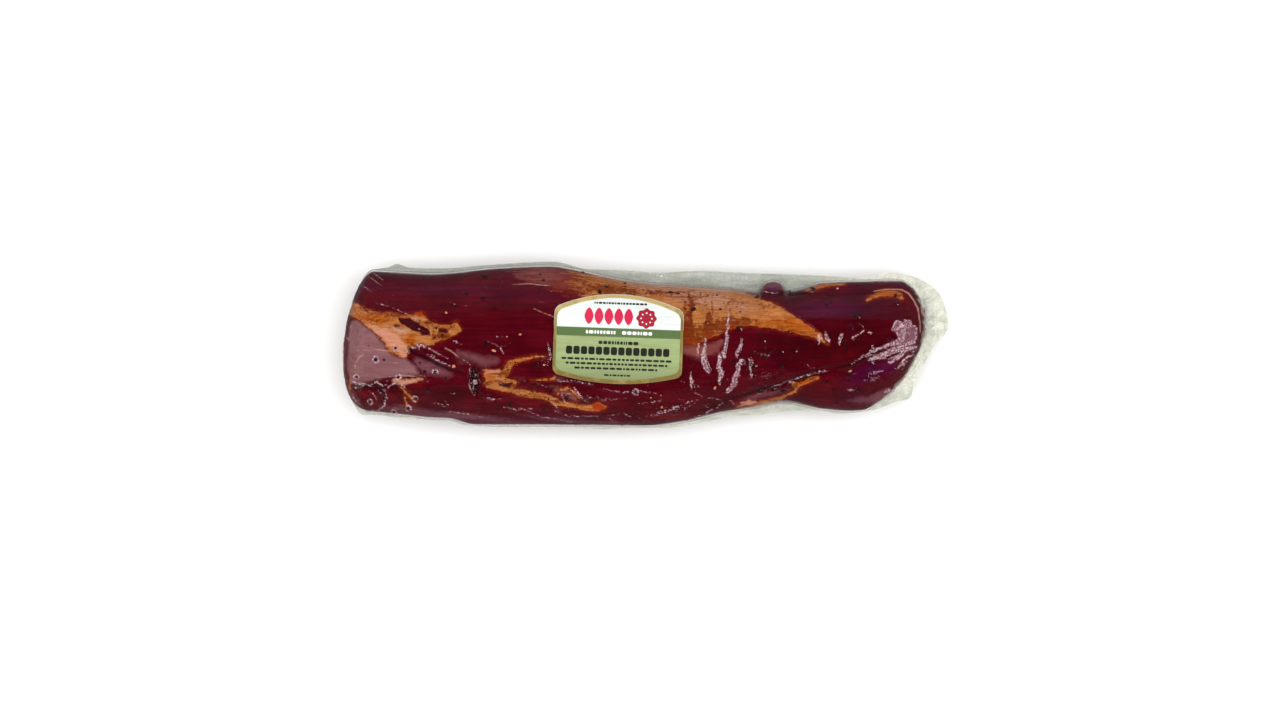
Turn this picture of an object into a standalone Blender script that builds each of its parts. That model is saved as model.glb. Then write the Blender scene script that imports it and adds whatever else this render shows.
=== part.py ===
"""Smoked pork tenderloin in a clear vacuum bag, with a sticker, lying on its flat side.

Lengths are in millimetres until a mesh is made, where MM turns them to metres.
X runs along the meat from the thick end to the folded tail, Y across it to the far side, and Z is up.
"""

import math

import bmesh
import bpy
import numpy as np

MM = 0.001

# Plan of the meat. Its long sides are smooth lines through (x, y) stations, and its ends are rounded off.
MEAT_START = -140.7
MEAT_END = 129.8
FAR_SIDE = (
    (-141, 35.2), (-115, 34.0), (-100, 33.2), (-88, 33.9), (-75, 35.4), (-45, 36.8),
    (-28, 34.0), (-15, 31.0), (0, 28.8), (20, 27.6), (40, 26.0), (52, 25.0), (58, 29.6),
    (64, 25.2), (72, 26.2), (82, 29.2), (105, 30.0), (130, 30.6),
)
NEAR_SIDE = (
    (-141, -29.4), (-120, -31.4), (-100, -33.4), (-92, -33.8), (-80, -36.6), (-45, -36.8),
    (0, -37.2), (15, -35.6), (35, -31.0), (52, -28.3), (64, -26.2), (82, -29.4), (95, -30.4),
    (108, -29.6), (130, -29.6),
)
START_MIDDLE_Y = -6.0
END_MIDDLE_Y = 8.0

# How far each rounded corner reaches along X, and how square it is: 1 cuts straight, 2 is a quarter ellipse.
START_FAR_CORNER = (14.0, 1.75)
START_NEAR_CORNER = (12.0, 2.4)
END_FAR_CORNER = (14.0, 2.1)
END_NEAR_CORNER = (29.0, 1.5)
START_CROWN_CORNER = (13.0, 2.4)
END_CROWN_CORNER = (15.0, 2.2)

# Height of the crown over the table, along the meat, and how square a cross-section is.
CROWN = (
    (-141, 37.0), (-118, 41.5), (-75, 42.0), (-35, 41.0), (10, 39.5), (45, 37.0),
    (75, 35.0), (105, 35.5), (130, 33.0),
)
WIDEST_SHARE = 0.44
TOP_SQUARENESS = 2.25
UNDER_SQUARENESS = 3.0
SUNK_UNDER = 1.2

# The pressed rim of the bag: two films together round the meat, drawn over its hollows and past its tail.
BAG_END = 140.7
RIM_THICKNESS = 1.0
LEAST_RIM = 0.5
RIM_FALL = 0.22
RIM_WAVE_HEIGHT = 0.4
RIM_WAVE_LENGTH = 13.0
RIM_FAR_SIDE = (
    (-141, 35.6), (-121, 36.2), (-116, 38.0), (-110, 36.2), (-95, 35.9), (-75, 37.4), (-43, 39.0),
    (-28, 35.7), (-12, 35.1), (5, 34.1), (25, 34.8), (48, 33.8), (75, 32.9), (100, 31.8),
    (114, 34.0), (125, 32.0), (131, 29.0), (136, 25.0), (139, 19.0), (140.7, 12.0),
)
RIM_NEAR_SIDE = (
    (-141, -30.0), (-133.5, -32.5), (-128, -32.2), (-110, -34.3), (-92, -35.0), (-85, -36.8),
    (-65, -38.0), (-38, -38.0), (-20, -39.0), (-5, -38.2), (8, -38.4), (25, -36.0), (42, -32.8),
    (52, -32.2), (70, -30.4), (80, -30.3), (90, -31.7), (106, -29.9), (117, -26.0),
    (123.4, -24.4), (124.4, -20.0), (131, -6.0), (135, 1.0), (139, 5.0), (140.7, 9.0),
)
RIM_START_CORNER = (10.0, 2.0)
CORE_SHARE_OF_RIM = 0.35

# Seams between muscles, as (points, depth, half width).
SEAMS = (
    (((52, 23.4), (66, 23.2), (82, 23.8), (96, 25.4)), 2.6, 1.9),
    (((20, -32.0), (40, -24.8), (60, -18.6), (80, -12.6), (94, -8.6), (104, -3.0), (113, 3.0)), 2.4, 2.1),
    (((-108, -2.0), (-101, -4.8), (-93, -9.6), (-84, -12.6)), 1.6, 1.6),
    (((-79, -11.0), (-79, -22.0)), 1.8, 2.0),
    (((-76, -19.0), (-60, -20.6), (-45, -25.0), (-22, -28.6)), 1.5, 2.0),
    (((-136, -19.0), (-124, -17.4), (-116, -18.2)), 1.8, 1.8),
    (((-122, -20.0), (-121, -28.0)), 1.5, 1.6),
    (((-112, 13.0), (-101, 7.0)), 1.2, 1.8),
)
# Lobes that stand up, as (x, y, reach x, reach y, height).
LOBES = (
    (-129.0, -24.0, 6.0, 4.5, 1.4),
    (-117.0, -23.5, 3.5, 3.5, 0.9),
    (-104.0, -20.0, 9.0, 4.0, 0.8),
    (97.0, -18.0, 13.0, 8.0, 1.8),
    (112.0, 22.0, 8.0, 4.0, 0.9),
    (-116.0, 3.0, 6.0, 5.0, 0.9),
)

# Cracked pepper and pale seeds under the film.
SPICE_SEED = 41
SPICE_COUNT = 56
SPICE_ALONG = (-134.0, 122.0)
SPICE_ACROSS = 0.86
SPICE_NEAR_BIAS = 0.62
SPICE_LONG = (1.2, 2.2)
SPICE_SLIMNESS = (0.55, 0.95)
SPICE_RISE = (0.5, 0.85)

# The sticker: straight sides, a high arch above and a shallow bow below.
STICKER_CENTRE = (-13.0, 1.6)
STICKER_TURN_DEG = -2.0
STICKER_WIDTH = 59.4
STICKER_SIDE_HEIGHT = 30.4
STICKER_ARCH = 6.8
STICKER_BOW = 4.1
STICKER_CORNER = 2.6
STICKER_THICKNESS = 0.5
STICKER_GAP = 0.3

# Mesh density.
BODY_STEP = 3.6
CORNER_STEPS = 8
RIM_TAB_STEPS = 5
TOP_STEPS = 26
UNDER_STEPS = 12
RIM_STEPS = 2
STICKER_STEPS = (20, 10)


def smooth_line(stations, x):
    """Value at x on the smooth line through the stations, which never overshoots between two of them."""
    knots, values = np.array(stations, float).T
    gaps = np.diff(knots)
    slopes = np.diff(values) / gaps
    left, right = slopes[:-1], slopes[1:]
    weight_left, weight_right = 2 * gaps[1:] + gaps[:-1], gaps[1:] + 2 * gaps[:-1]
    same_way = left * right > 0
    safe_left, safe_right = np.where(same_way, left, 1.0), np.where(same_way, right, 1.0)
    mean = (weight_left + weight_right) / (weight_left / safe_left + weight_right / safe_right)
    tangents = np.concatenate([slopes[:1], np.where(same_way, mean, 0.0), slopes[-1:]])
    x = np.clip(x, knots[0], knots[-1])
    i = np.clip(np.searchsorted(knots, x) - 1, 0, len(gaps) - 1)
    t = (x - knots[i]) / gaps[i]
    return (
        values[i] * (1 + 2 * t) * (1 - t) ** 2
        + values[i + 1] * t**2 * (3 - 2 * t)
        + gaps[i] * (tangents[i] * t * (1 - t) ** 2 - tangents[i + 1] * t**2 * (1 - t))
    )


def corner_share(inwards, corner):
    """0 at the tip of a rounded end, 1 where its corner has run out. inwards is the distance from the tip."""
    reach, squareness = corner
    t = np.clip(inwards / reach, 0, 1)
    return (1 - (1 - t) ** squareness) ** (1 / squareness)


def rounded_side(x, stations, start_corner, end_corner):
    """One long side of the meat in plan, closing on the middle of each end."""
    side = smooth_line(stations, x)
    side = START_MIDDLE_Y + (side - START_MIDDLE_Y) * corner_share(x - MEAT_START, start_corner)
    return END_MIDDLE_Y + (side - END_MIDDLE_Y) * corner_share(MEAT_END - x, end_corner)


def rim_sides(x):
    """Far and near edge of the bag at x."""
    share = corner_share(x - MEAT_START, RIM_START_CORNER)
    far = START_MIDDLE_Y + (smooth_line(RIM_FAR_SIDE, x) - START_MIDDLE_Y) * share
    near = START_MIDDLE_Y + (smooth_line(RIM_NEAR_SIDE, x) - START_MIDDLE_Y) * share
    meat_far, meat_near = meat_sides(x)
    return np.maximum(far, meat_far + LEAST_RIM), np.minimum(near, meat_near - LEAST_RIM)


def meat_sides(x):
    """Far and near side of the meat at x. Past the tail the two stay a little apart, inside the rim."""
    far = rounded_side(x, FAR_SIDE, START_FAR_CORNER, END_FAR_CORNER)
    near = rounded_side(x, NEAR_SIDE, START_NEAR_CORNER, END_NEAR_CORNER)
    rim_far, rim_near = smooth_line(RIM_FAR_SIDE, x), smooth_line(RIM_NEAR_SIDE, x)
    middle = (rim_far + rim_near) / 2
    core = (rim_far - rim_near) / 2 * CORE_SHARE_OF_RIM
    past_tail = np.clip((x - MEAT_END + END_CROWN_CORNER[0]) / END_CROWN_CORNER[0], 0, 1) ** 3
    return np.maximum(far, middle + core * past_tail), np.minimum(near, middle - core * past_tail)


def crown_share(x):
    """How much of its full height the meat has at x: all of it, but for the rounded ends."""
    return corner_share(x - MEAT_START, START_CROWN_CORNER) * corner_share(MEAT_END - x, END_CROWN_CORNER)


def widest_height(x):
    """Height at which a cross-section is widest, where the rim leaves it."""
    return smooth_line(CROWN, x) * WIDEST_SHARE


def distance_to_path(x, y, points):
    """Distance from each (x, y) to a path of straight runs."""
    nearest = np.full(np.shape(x), np.inf)
    for (ax, ay), (bx, by) in zip(points, points[1:]):
        dx, dy = bx - ax, by - ay
        along = np.clip(((x - ax) * dx + (y - ay) * dy) / (dx * dx + dy * dy), 0, 1)
        nearest = np.minimum(nearest, np.hypot(x - ax - along * dx, y - ay - along * dy))
    return nearest


def relief(x, y):
    """Rise of the top over a smooth body: seams between muscles dip, and lobes stand up."""
    rise = np.zeros(np.shape(x))
    for points, depth, half_width in SEAMS:
        rise = rise - depth * np.exp(-((distance_to_path(x, y, points) / half_width) ** 2))
    for lobe_x, lobe_y, reach_x, reach_y, height in LOBES:
        rise = rise + height * np.exp(-(((x - lobe_x) / reach_x) ** 2) - ((y - lobe_y) / reach_y) ** 2)
    return rise


def top_height(x, y):
    """Height of the packed meat's upper side over the table."""
    far, near = meat_sides(x)
    across = np.clip(np.abs(y - (far + near) / 2) / ((far - near) / 2), 0, 1)
    profile = (1 - across**TOP_SQUARENESS) ** (1 / TOP_SQUARENESS) * crown_share(x)
    foot = widest_height(x) + RIM_THICKNESS / 2
    return foot + (smooth_line(CROWN, x) - foot) * profile + relief(x, y) * np.sqrt(profile)


def under_height(x, y):
    """Height of the lower side: flat on the table, rounded up at the sides and ends."""
    far, near = meat_sides(x)
    across = np.clip(np.abs(y - (far + near) / 2) / ((far - near) / 2), 0, 1)
    profile = (1 - across**UNDER_SQUARENESS) ** (1 / UNDER_SQUARENESS) * crown_share(x)
    foot = widest_height(x) - RIM_THICKNESS / 2
    return np.maximum(foot - (foot + SUNK_UNDER) * profile, 0)


def rim_height(x, outwards):
    """Height of the rim's middle, outwards being the distance from the meat: it sinks and ripples."""
    wave = np.sin(2 * math.pi * x / RIM_WAVE_LENGTH)
    ripple = RIM_WAVE_HEIGHT * wave * np.clip(outwards / RIM_WAVE_LENGTH, 0, 1)
    return widest_height(x) - RIM_FALL * outwards + ripple


def body_stations():
    """The x of every cross-section, closer together at the rounded ends."""
    reach = START_CROWN_CORNER[0]
    turn = np.linspace(0, math.pi / 2, CORNER_STEPS + 1)
    start = MEAT_START + reach * (1 - np.cos(turn[1:]))
    end = MEAT_END - reach * (1 - np.cos(turn[::-1]))
    count = round((end[0] - start[-1]) / BODY_STEP)
    middle = np.linspace(start[-1], end[0], count + 1)[1:-1]
    tab = np.linspace(MEAT_END, BAG_END, RIM_TAB_STEPS + 1)[1:]
    return np.concatenate([start, middle, end, tab])


def cross_section(x):
    """One closed ring of points at x: rim, top, rim, then rim, underside, rim on the way back."""
    far, near = (float(side) for side in meat_sides(x))
    rim_far, rim_near = (float(side) for side in rim_sides(x))
    half, middle = (far - near) / 2, (far + near) / 2
    top_y = middle + half * np.cos(np.linspace(0, math.pi, TOP_STEPS + 1))
    under_y = middle - half * np.cos(np.linspace(0, math.pi, UNDER_STEPS + 1))
    far_rim_y = np.linspace(rim_far, far, RIM_STEPS + 1)[:-1]
    near_rim_y = np.linspace(near, rim_near, RIM_STEPS + 1)[1:]
    far_rim_z = rim_height(x, far_rim_y - far)
    near_rim_z = rim_height(x, near - near_rim_y)
    lift = RIM_THICKNESS / 2
    y = np.concatenate([far_rim_y, top_y, near_rim_y, near_rim_y[::-1], under_y, far_rim_y[::-1]])
    z = np.concatenate([
        far_rim_z + lift, top_height(x, top_y), near_rim_z + lift,
        near_rim_z[::-1] - lift, under_height(x, under_y), far_rim_z[::-1] - lift,
    ])
    return np.column_stack([np.full(len(y), x), y, z])


def add_loft(bm, rings):
    """Skins rings of equal length into one closed body, with a flat cap on each end."""
    loops = [[bm.verts.new(point * MM) for point in ring] for ring in rings]
    for one, other in zip(loops, loops[1:]):
        for i, _ in enumerate(one):
            j = (i + 1) % len(one)
            bm.faces.new((one[i], one[j], other[j], other[i]))
    bm.faces.new(loops[0][::-1])
    bm.faces.new(loops[-1])


def spice_places():
    """(x, y, length, width, rise, turn) of every grain, more of them on the near half."""
    draw = np.random.default_rng(SPICE_SEED)
    x = draw.uniform(*SPICE_ALONG, SPICE_COUNT)
    across = draw.uniform(-SPICE_ACROSS, SPICE_ACROSS, SPICE_COUNT)
    across = np.where(draw.random(SPICE_COUNT) < SPICE_NEAR_BIAS, -np.abs(across), across)
    length = draw.uniform(*SPICE_LONG, SPICE_COUNT)
    width = length * draw.uniform(*SPICE_SLIMNESS, SPICE_COUNT)
    rise = draw.uniform(*SPICE_RISE, SPICE_COUNT)
    turn = draw.uniform(0, math.pi, SPICE_COUNT)
    far, near = meat_sides(x)
    y = (far + near) / 2 + across * (far - near) / 2
    grains = np.column_stack([x, y, length, width, rise, turn])
    return grains[~on_sticker(x, y)]


def on_sticker(x, y):
    """True where the sticker would lie over the point, or nearly."""
    turn = math.radians(STICKER_TURN_DEG)
    dx, dy = x - STICKER_CENTRE[0], y - STICKER_CENTRE[1]
    along = dx * math.cos(turn) + dy * math.sin(turn)
    up = dy * math.cos(turn) - dx * math.sin(turn)
    clear = 2 * STICKER_CORNER
    half_height = STICKER_SIDE_HEIGHT / 2 + STICKER_ARCH
    return (np.abs(along) < STICKER_WIDTH / 2 + clear) & (np.abs(up) < half_height + clear)


def make_material(name, colour, roughness):
    """A Principled material of one colour."""
    material = bpy.data.materials.new(name)
    material.use_nodes = True
    shader = material.node_tree.nodes["Principled BSDF"]
    shader.inputs["Base Color"].default_value = (*colour, 1)
    shader.inputs["Roughness"].default_value = roughness
    shader.inputs["Metallic"].default_value = 0.0
    return material


def make_object(name, bm, material, parent=None):
    """A named object from a bmesh, shaded smooth but for its sharp edges."""
    mesh = bpy.data.meshes.new(name)
    bmesh.ops.recalc_face_normals(bm, faces=bm.faces)
    bmesh.ops.triangulate(bm, faces=bm.faces)
    bm.to_mesh(mesh)
    bm.free()
    mesh.shade_smooth()
    mesh.set_sharp_from_angle(angle=math.radians(40))
    mesh.materials.append(material)
    made = bpy.data.objects.new(name, mesh)
    made.parent = parent
    bpy.context.scene.collection.objects.link(made)
    return made


def make_spice(material):
    """A collection of grains sunk half into the top, to be joined to it."""
    grains = bpy.data.collections.new("spice")
    bpy.context.scene.collection.children.link(grains)
    for i, (x, y, length, width, rise, turn) in enumerate(spice_places()):
        bm = bmesh.new()
        bmesh.ops.create_icosphere(bm, subdivisions=1, radius=0.5)
        bmesh.ops.scale(bm, vec=(length * MM, width * MM, 2 * rise * MM), verts=bm.verts)
        grain = make_object(f"grain_{i:02d}", bm, material)
        grain.location = (x * MM, y * MM, float(top_height(x, y)) * MM)
        grain.rotation_euler = (0, 0, turn)
        bpy.context.scene.collection.objects.unlink(grain)
        grains.objects.link(grain)
    return grains


def join_collection(body, collection):
    """Joins every object of the collection to the body with one Boolean, then removes them."""
    union = body.modifiers.new("spice", "BOOLEAN")
    union.operation = "UNION"
    union.operand_type = "COLLECTION"
    union.collection = collection
    bpy.context.view_layer.objects.active = body
    with bpy.context.temp_override(object=body, active_object=body):
        bpy.ops.object.modifier_apply(modifier=union.name)
    for grain in list(collection.objects):
        bpy.data.objects.remove(grain)
    bpy.data.collections.remove(collection)


def make_sealed_bag(parent):
    """The vacuum bag with the meat in it, one closed body out to the edge of the pressed rim."""
    bm = bmesh.new()
    add_loft(bm, [cross_section(x) for x in body_stations()])
    meat = make_material("smoked_pork_under_film", (0.115, 0.010, 0.020), 0.22)
    bag = make_object("sealed_bag", bm, meat, parent)
    join_collection(bag, make_spice(make_material("pepper", (0.012, 0.010, 0.009), 0.6)))
    return bag


def sticker_edge(across, reach, bow):
    """How far the sticker's upper or lower edge lies from its middle line, across running from -1 to 1."""
    inwards = (1 - np.abs(across)) * STICKER_WIDTH / 2
    corner = STICKER_CORNER * (1 - corner_share(inwards, (STICKER_CORNER, 2.0)))
    return reach + bow * (1 - across**2) - corner


def make_sticker(parent):
    """The paper sticker, a thin sheet that follows the top of the bag just clear of it."""
    columns, rows = STICKER_STEPS
    turn = math.radians(STICKER_TURN_DEG)
    across, up = np.meshgrid(-np.cos(np.linspace(0, math.pi, columns + 1)), np.linspace(0, 1, rows + 1))
    above = sticker_edge(across, STICKER_SIDE_HEIGHT / 2, STICKER_ARCH)
    below = -sticker_edge(across, STICKER_SIDE_HEIGHT / 2, STICKER_BOW)
    local_x = across * STICKER_WIDTH / 2
    local_y = below + (above - below) * up
    world_x = STICKER_CENTRE[0] + local_x * math.cos(turn) - local_y * math.sin(turn)
    world_y = STICKER_CENTRE[1] + local_x * math.sin(turn) + local_y * math.cos(turn)
    underside = top_height(world_x, world_y) + STICKER_GAP
    bm = bmesh.new()
    layers = []
    for height in (underside, underside + STICKER_THICKNESS):
        points = np.stack([local_x, local_y, height], axis=-1) * MM
        layers.append([[bm.verts.new(point) for point in row] for row in points])
    under, upper = layers
    for i in range(rows):
        for j in range(columns):
            corners = ((i, j), (i, j + 1), (i + 1, j + 1), (i + 1, j))
            bm.faces.new([upper[a][b] for a, b in corners])
            bm.faces.new([under[a][b] for a, b in reversed(corners)])
    border = (
        [(0, j) for j in range(columns)] + [(i, columns) for i in range(rows)]
        + [(rows, j) for j in range(columns, 0, -1)] + [(i, 0) for i in range(rows, 0, -1)]
    )
    for (a, b), (c, d) in zip(border, border[1:] + border[:1]):
        bm.faces.new((under[a][b], under[c][d], upper[c][d], upper[a][b]))
    sticker = make_object("sticker", bm, make_material("printed_paper", (0.42, 0.55, 0.26), 0.45), parent)
    sticker.location = (STICKER_CENTRE[0] * MM, STICKER_CENTRE[1] * MM, 0)
    sticker.rotation_euler = (0, 0, turn)
    return sticker


def main():
    """Clears the scene and builds the pack under one empty."""
    for old in list(bpy.data.objects):
        bpy.data.objects.remove(old)
    pack = bpy.data.objects.new("pack", None)
    bpy.context.scene.collection.objects.link(pack)
    make_sealed_bag(pack)
    make_sticker(pack)


main()
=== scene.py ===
"""The looks of a smoked pork tenderloin in a clear vacuum bag with a paper sticker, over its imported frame.

Every shape is worked out in millimetres in the part's own frame, and MM turns it to metres in the mesh.
X runs along the meat from its thick end to the folded tail, Y across it to the far side, and Z is up.
"""

import logging
import math
from collections.abc import Callable
from dataclasses import dataclass
from enum import Enum
from functools import partial

import bpy
import numpy as np
from numpy.typing import NDArray
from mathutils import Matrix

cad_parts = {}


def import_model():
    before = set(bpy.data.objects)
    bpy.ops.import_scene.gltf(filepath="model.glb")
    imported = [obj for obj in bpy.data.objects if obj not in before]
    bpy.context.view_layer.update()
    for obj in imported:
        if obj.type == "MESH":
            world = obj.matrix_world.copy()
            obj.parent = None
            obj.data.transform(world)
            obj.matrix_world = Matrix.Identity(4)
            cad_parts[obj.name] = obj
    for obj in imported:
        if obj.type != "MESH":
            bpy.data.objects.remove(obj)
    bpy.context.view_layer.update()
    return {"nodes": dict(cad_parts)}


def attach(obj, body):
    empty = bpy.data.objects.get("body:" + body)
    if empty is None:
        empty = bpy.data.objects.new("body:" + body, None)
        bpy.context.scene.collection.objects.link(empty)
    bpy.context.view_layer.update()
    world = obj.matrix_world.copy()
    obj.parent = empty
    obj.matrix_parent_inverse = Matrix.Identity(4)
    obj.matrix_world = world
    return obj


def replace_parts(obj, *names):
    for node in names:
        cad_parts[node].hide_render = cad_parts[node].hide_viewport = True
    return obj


MM = 0.001
BODY = "root"
LOG = logging.getLogger("tenderloin")

Floats = NDArray[np.float64]
Numbers = NDArray[np.int64]
Pair = tuple[float, float]
Stations = tuple[tuple[float, ...], ...]
Socket = bpy.types.NodeSocket
Add = Callable[..., Socket]

# Settings that many nodes share: a mix of colours, arithmetic, and a range with eased ends.
COLOURS = {"data_type": "RGBA"}
LESS = {"operation": "SUBTRACT"}
TIMES = {"operation": "MULTIPLY"}
TIMES_PLUS = {"operation": "MULTIPLY_ADD"}
EASED = {"interpolation_type": "SMOOTHSTEP"}
WHITE = "#ffffff"
FAR_OUTSIDE = -1e3


def smooth_line(stations: Stations, x: Floats) -> Floats:
    """Follows the smooth line through (x, value) stations: a cubic in each gap that never overshoots.

    Args:
        stations: the (x, value) pairs that the line passes through, in order of x.
        x: where to read the line.

    Returns:
        The value at each x, held level past either end.
    """
    knots, values = np.array(stations, float).T
    gaps = np.diff(knots)
    slopes = np.diff(values) / gaps
    left, right = slopes[:-1], slopes[1:]
    weight_left, weight_right = 2 * gaps[1:] + gaps[:-1], gaps[1:] + 2 * gaps[:-1]
    same_way = left * right > 0
    safe_left, safe_right = np.where(same_way, left, 1.0), np.where(same_way, right, 1.0)
    mean = (weight_left + weight_right) / (weight_left / safe_left + weight_right / safe_right)
    tangents = np.concatenate([slopes[:1], np.where(same_way, mean, 0.0), slopes[-1:]])
    x = np.clip(x, knots[0], knots[-1])
    i = np.clip(np.searchsorted(knots, x) - 1, 0, len(gaps) - 1)
    t = (x - knots[i]) / gaps[i]
    return (
        values[i] * (1 + 2 * t) * (1 - t) ** 2
        + values[i + 1] * t**2 * (3 - 2 * t)
        + gaps[i] * (tangents[i] * t * (1 - t) ** 2 - tangents[i + 1] * t**2 * (1 - t))
    )


def corner_share(inwards: Floats, corner: Pair) -> Floats:
    """Rounds an end: the quarter of a superellipse, 0 at the tip and 1 where the corner has run out.

    Args:
        inwards: distance from the tip.
        corner: how far the corner reaches, and its squareness, where 2 is a quarter ellipse.

    Returns:
        The share of the full width or height at each distance.
    """
    reach, squareness = corner
    t = np.clip(inwards / reach, 0, 1)
    return (1 - (1 - t) ** squareness) ** (1 / squareness)


def ease(value: Floats, low: float, high: float) -> Floats:
    """Eases from 0 at low to 1 at high, level at both ends: three times t squared less twice t cubed."""
    t = np.clip((value - low) / (high - low), 0, 1)
    return t * t * (3 - 2 * t)


def path_distance(x: Floats, y: Floats, points: Stations) -> Floats:
    """Distance from each (x, y) to a path of straight runs: the least of the distances to its runs."""
    return -stroke_depth(x, y, tuple((a, b, 0.0) for a, b in points))


def stroke_depth(x: Floats, y: Floats, stations: Stations) -> Floats:
    """Depth inside a brush stroke whose half width changes along it: half width less distance to the path.

    Args:
        x: plan position along the meat.
        y: plan position across it.
        stations: (x, y, half width) along the stroke.

    Returns:
        Millimetres inside the stroke, below zero outside it.
    """
    depth = np.full(np.shape(x), FAR_OUTSIDE)
    for (ax, ay, aw), (bx, by, bw) in zip(stations, stations[1:]):
        dx, dy = bx - ax, by - ay
        t = np.clip(((x - ax) * dx + (y - ay) * dy) / (dx * dx + dy * dy), 0, 1)
        depth = np.maximum(depth, aw + (bw - aw) * t - np.hypot(x - ax - t * dx, y - ay - t * dy))
    return depth


def outline_depth(x: Floats, y: Floats, points: Stations) -> Floats:
    """Depth inside a closed outline: the distance to its nearest side, with the sign of an even-odd test.

    Args:
        x: plan position along the meat.
        y: plan position across it.
        points: the outline's (x, y) corners, the last joined to the first.

    Returns:
        Millimetres inside the outline, below zero outside it.
    """
    closed = points + points[:1]
    inside = np.zeros(np.shape(x), bool)
    for (ax, ay), (bx, by) in zip(closed, closed[1:]):
        if ay != by:
            crosses = ((ay > y) != (by > y)) & (x < ax + (y - ay) * (bx - ax) / (by - ay))
            inside ^= crosses
    return np.where(inside, 1.0, -1.0) * path_distance(x, y, closed)


def deepest(x: Floats, y: Floats, strokes: tuple[Stations, ...]) -> Floats:
    """Depth inside whichever of several strokes is deepest at each point."""
    return np.max([stroke_depth(x, y, stroke) for stroke in strokes], axis=0)


def blobs(x: Floats, y: Floats, places: Stations) -> Floats:
    """Sum of soft round spots: each its strength times e to the minus squared distance over its two reaches.

    Args:
        x: plan position along the meat.
        y: plan position across it.
        places: (x, y, reach along, reach across, strength) of each spot.

    Returns:
        The summed strength at each point.
    """
    total = np.zeros(np.shape(x))
    for px, py, rx, ry, strength in places:
        total = total + strength * np.exp(-(((x - px) / rx) ** 2) - ((y - py) / ry) ** 2)
    return total


@dataclass(frozen=True)
class Noise:
    """Smooth seeded noise over the plan, between its height below zero and its height above."""

    seed: int
    along: float
    across: float
    octaves: int = 1
    height: float = 1.0
    lattice: int = 509
    origin: Pair = (211.3, 173.9)

    def at(self, x: Floats, y: Floats) -> Floats:
        """Reads the noise: random lattice values joined by eased steps, octaves halving in size and weight.

        Args:
            x: plan position along the meat, where the lattice is spaced by along.
            y: plan position across it, where the lattice is spaced by across.

        Returns:
            The noise at each point.
        """
        total, weight = np.zeros(np.shape(x)), 0.0
        for octave in range(self.octaves):
            values = np.random.default_rng(self.seed + octave).uniform(-1, 1, (self.lattice, self.lattice))
            u = np.asarray(x) / self.along * 2**octave + self.origin[0]
            v = np.asarray(y) / self.across * 2**octave + self.origin[1]
            i, j = np.floor(u).astype(int), np.floor(v).astype(int)
            s, t = ease(u - i, 0, 1), ease(v - j, 0, 1)
            i0, j0 = i % self.lattice, j % self.lattice
            i1, j1 = (i + 1) % self.lattice, (j + 1) % self.lattice
            low = values[i0, j0] * (1 - s) + values[i1, j0] * s
            high = values[i0, j1] * (1 - s) + values[i1, j1] * s
            total = total + (low * (1 - t) + high * t) * 0.5**octave
            weight += 0.5**octave
        return total / weight * self.height


def linear(code: str) -> tuple[float, float, float, float]:
    """Turns an sRGB hex code into the linear colour that a socket takes.

    Args:
        code: a hash sign and six hex digits.

    Returns:
        Red, green and blue, and an alpha of 1.
    """
    parts = [int(code[i : i + 2], 16) / 255 for i in (1, 3, 5)]
    red, green, blue = (c / 12.92 if c <= 0.04045 else ((c + 0.055) / 1.055) ** 2.4 for c in parts)
    return red, green, blue, 1.0


def scale_of(size_mm: float) -> float:
    """Texture scale at which a pattern is about so many millimetres wide."""
    return 1 / (size_mm * MM)


def stretched(along_mm: float, across_mm: float) -> tuple[float, float, float]:
    """Mapping scale of a pattern with one size along X and another across it."""
    return scale_of(along_mm), scale_of(across_mm), scale_of(across_mm)


def add_node(
    tree: bpy.types.NodeTree, kind: str, settings: dict, inputs: dict | tuple, output: int | str = 0
) -> Socket | None:
    """Adds one shader node with its settings and links.

    Args:
        tree: the node tree to add to.
        kind: the node's type name without its ShaderNode prefix.
        settings: properties of the node by name, and a colour ramp's positions and colours under "stops".
        inputs: sockets by name or number, or the first ones in a row, each a value or a node's output.
        output: which of its outputs is wanted.

    Returns:
        That output, or nothing from a node that has none.
    """
    node = tree.nodes.new("ShaderNode" + kind)
    for name, value in settings.items():
        if name != "stops":
            setattr(node, name, value)
    for number, (position, colour) in enumerate(settings.get("stops", ())):
        ramp = node.color_ramp.elements
        stop = ramp[number] if number < len(ramp) else ramp.new(position)
        stop.position, stop.color = position, colour
    for name, value in inputs.items() if isinstance(inputs, dict) else enumerate(inputs):
        if isinstance(value, Socket):
            tree.links.new(value, node.inputs[name])
        else:
            node.inputs[name].default_value = value
    return node.outputs[output] if len(node.outputs) else None


def new_material(name: str) -> tuple[bpy.types.Material, Add, Socket]:
    """Makes an empty node material.

    Args:
        name: what the real material is called.

    Returns:
        The material, add_node for its tree, and its Object coordinates.
    """
    material = bpy.data.materials.new(name)
    material.use_nodes = True
    material.node_tree.nodes.clear()
    add = partial(add_node, material.node_tree)
    return material, add, add("TexCoord", {}, {}, "Object")


def grid_faces(rows: int, columns: int, closed: bool) -> Numbers:
    """Quads of a grid of points stored row by row.

    Args:
        rows: points along the first parameter.
        columns: points along the second.
        closed: whether each row is a ring, its last point joined to its first.

    Returns:
        Four point numbers for each quad.
    """
    i, j = np.meshgrid(np.arange(rows - 1), np.arange(columns if closed else columns - 1), indexing="ij")
    k = (j + 1) % columns
    quads = [i * columns + j, i * columns + k, (i + 1) * columns + k, (i + 1) * columns + j]
    return np.stack(quads, axis=-1).reshape(-1, 4)


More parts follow.
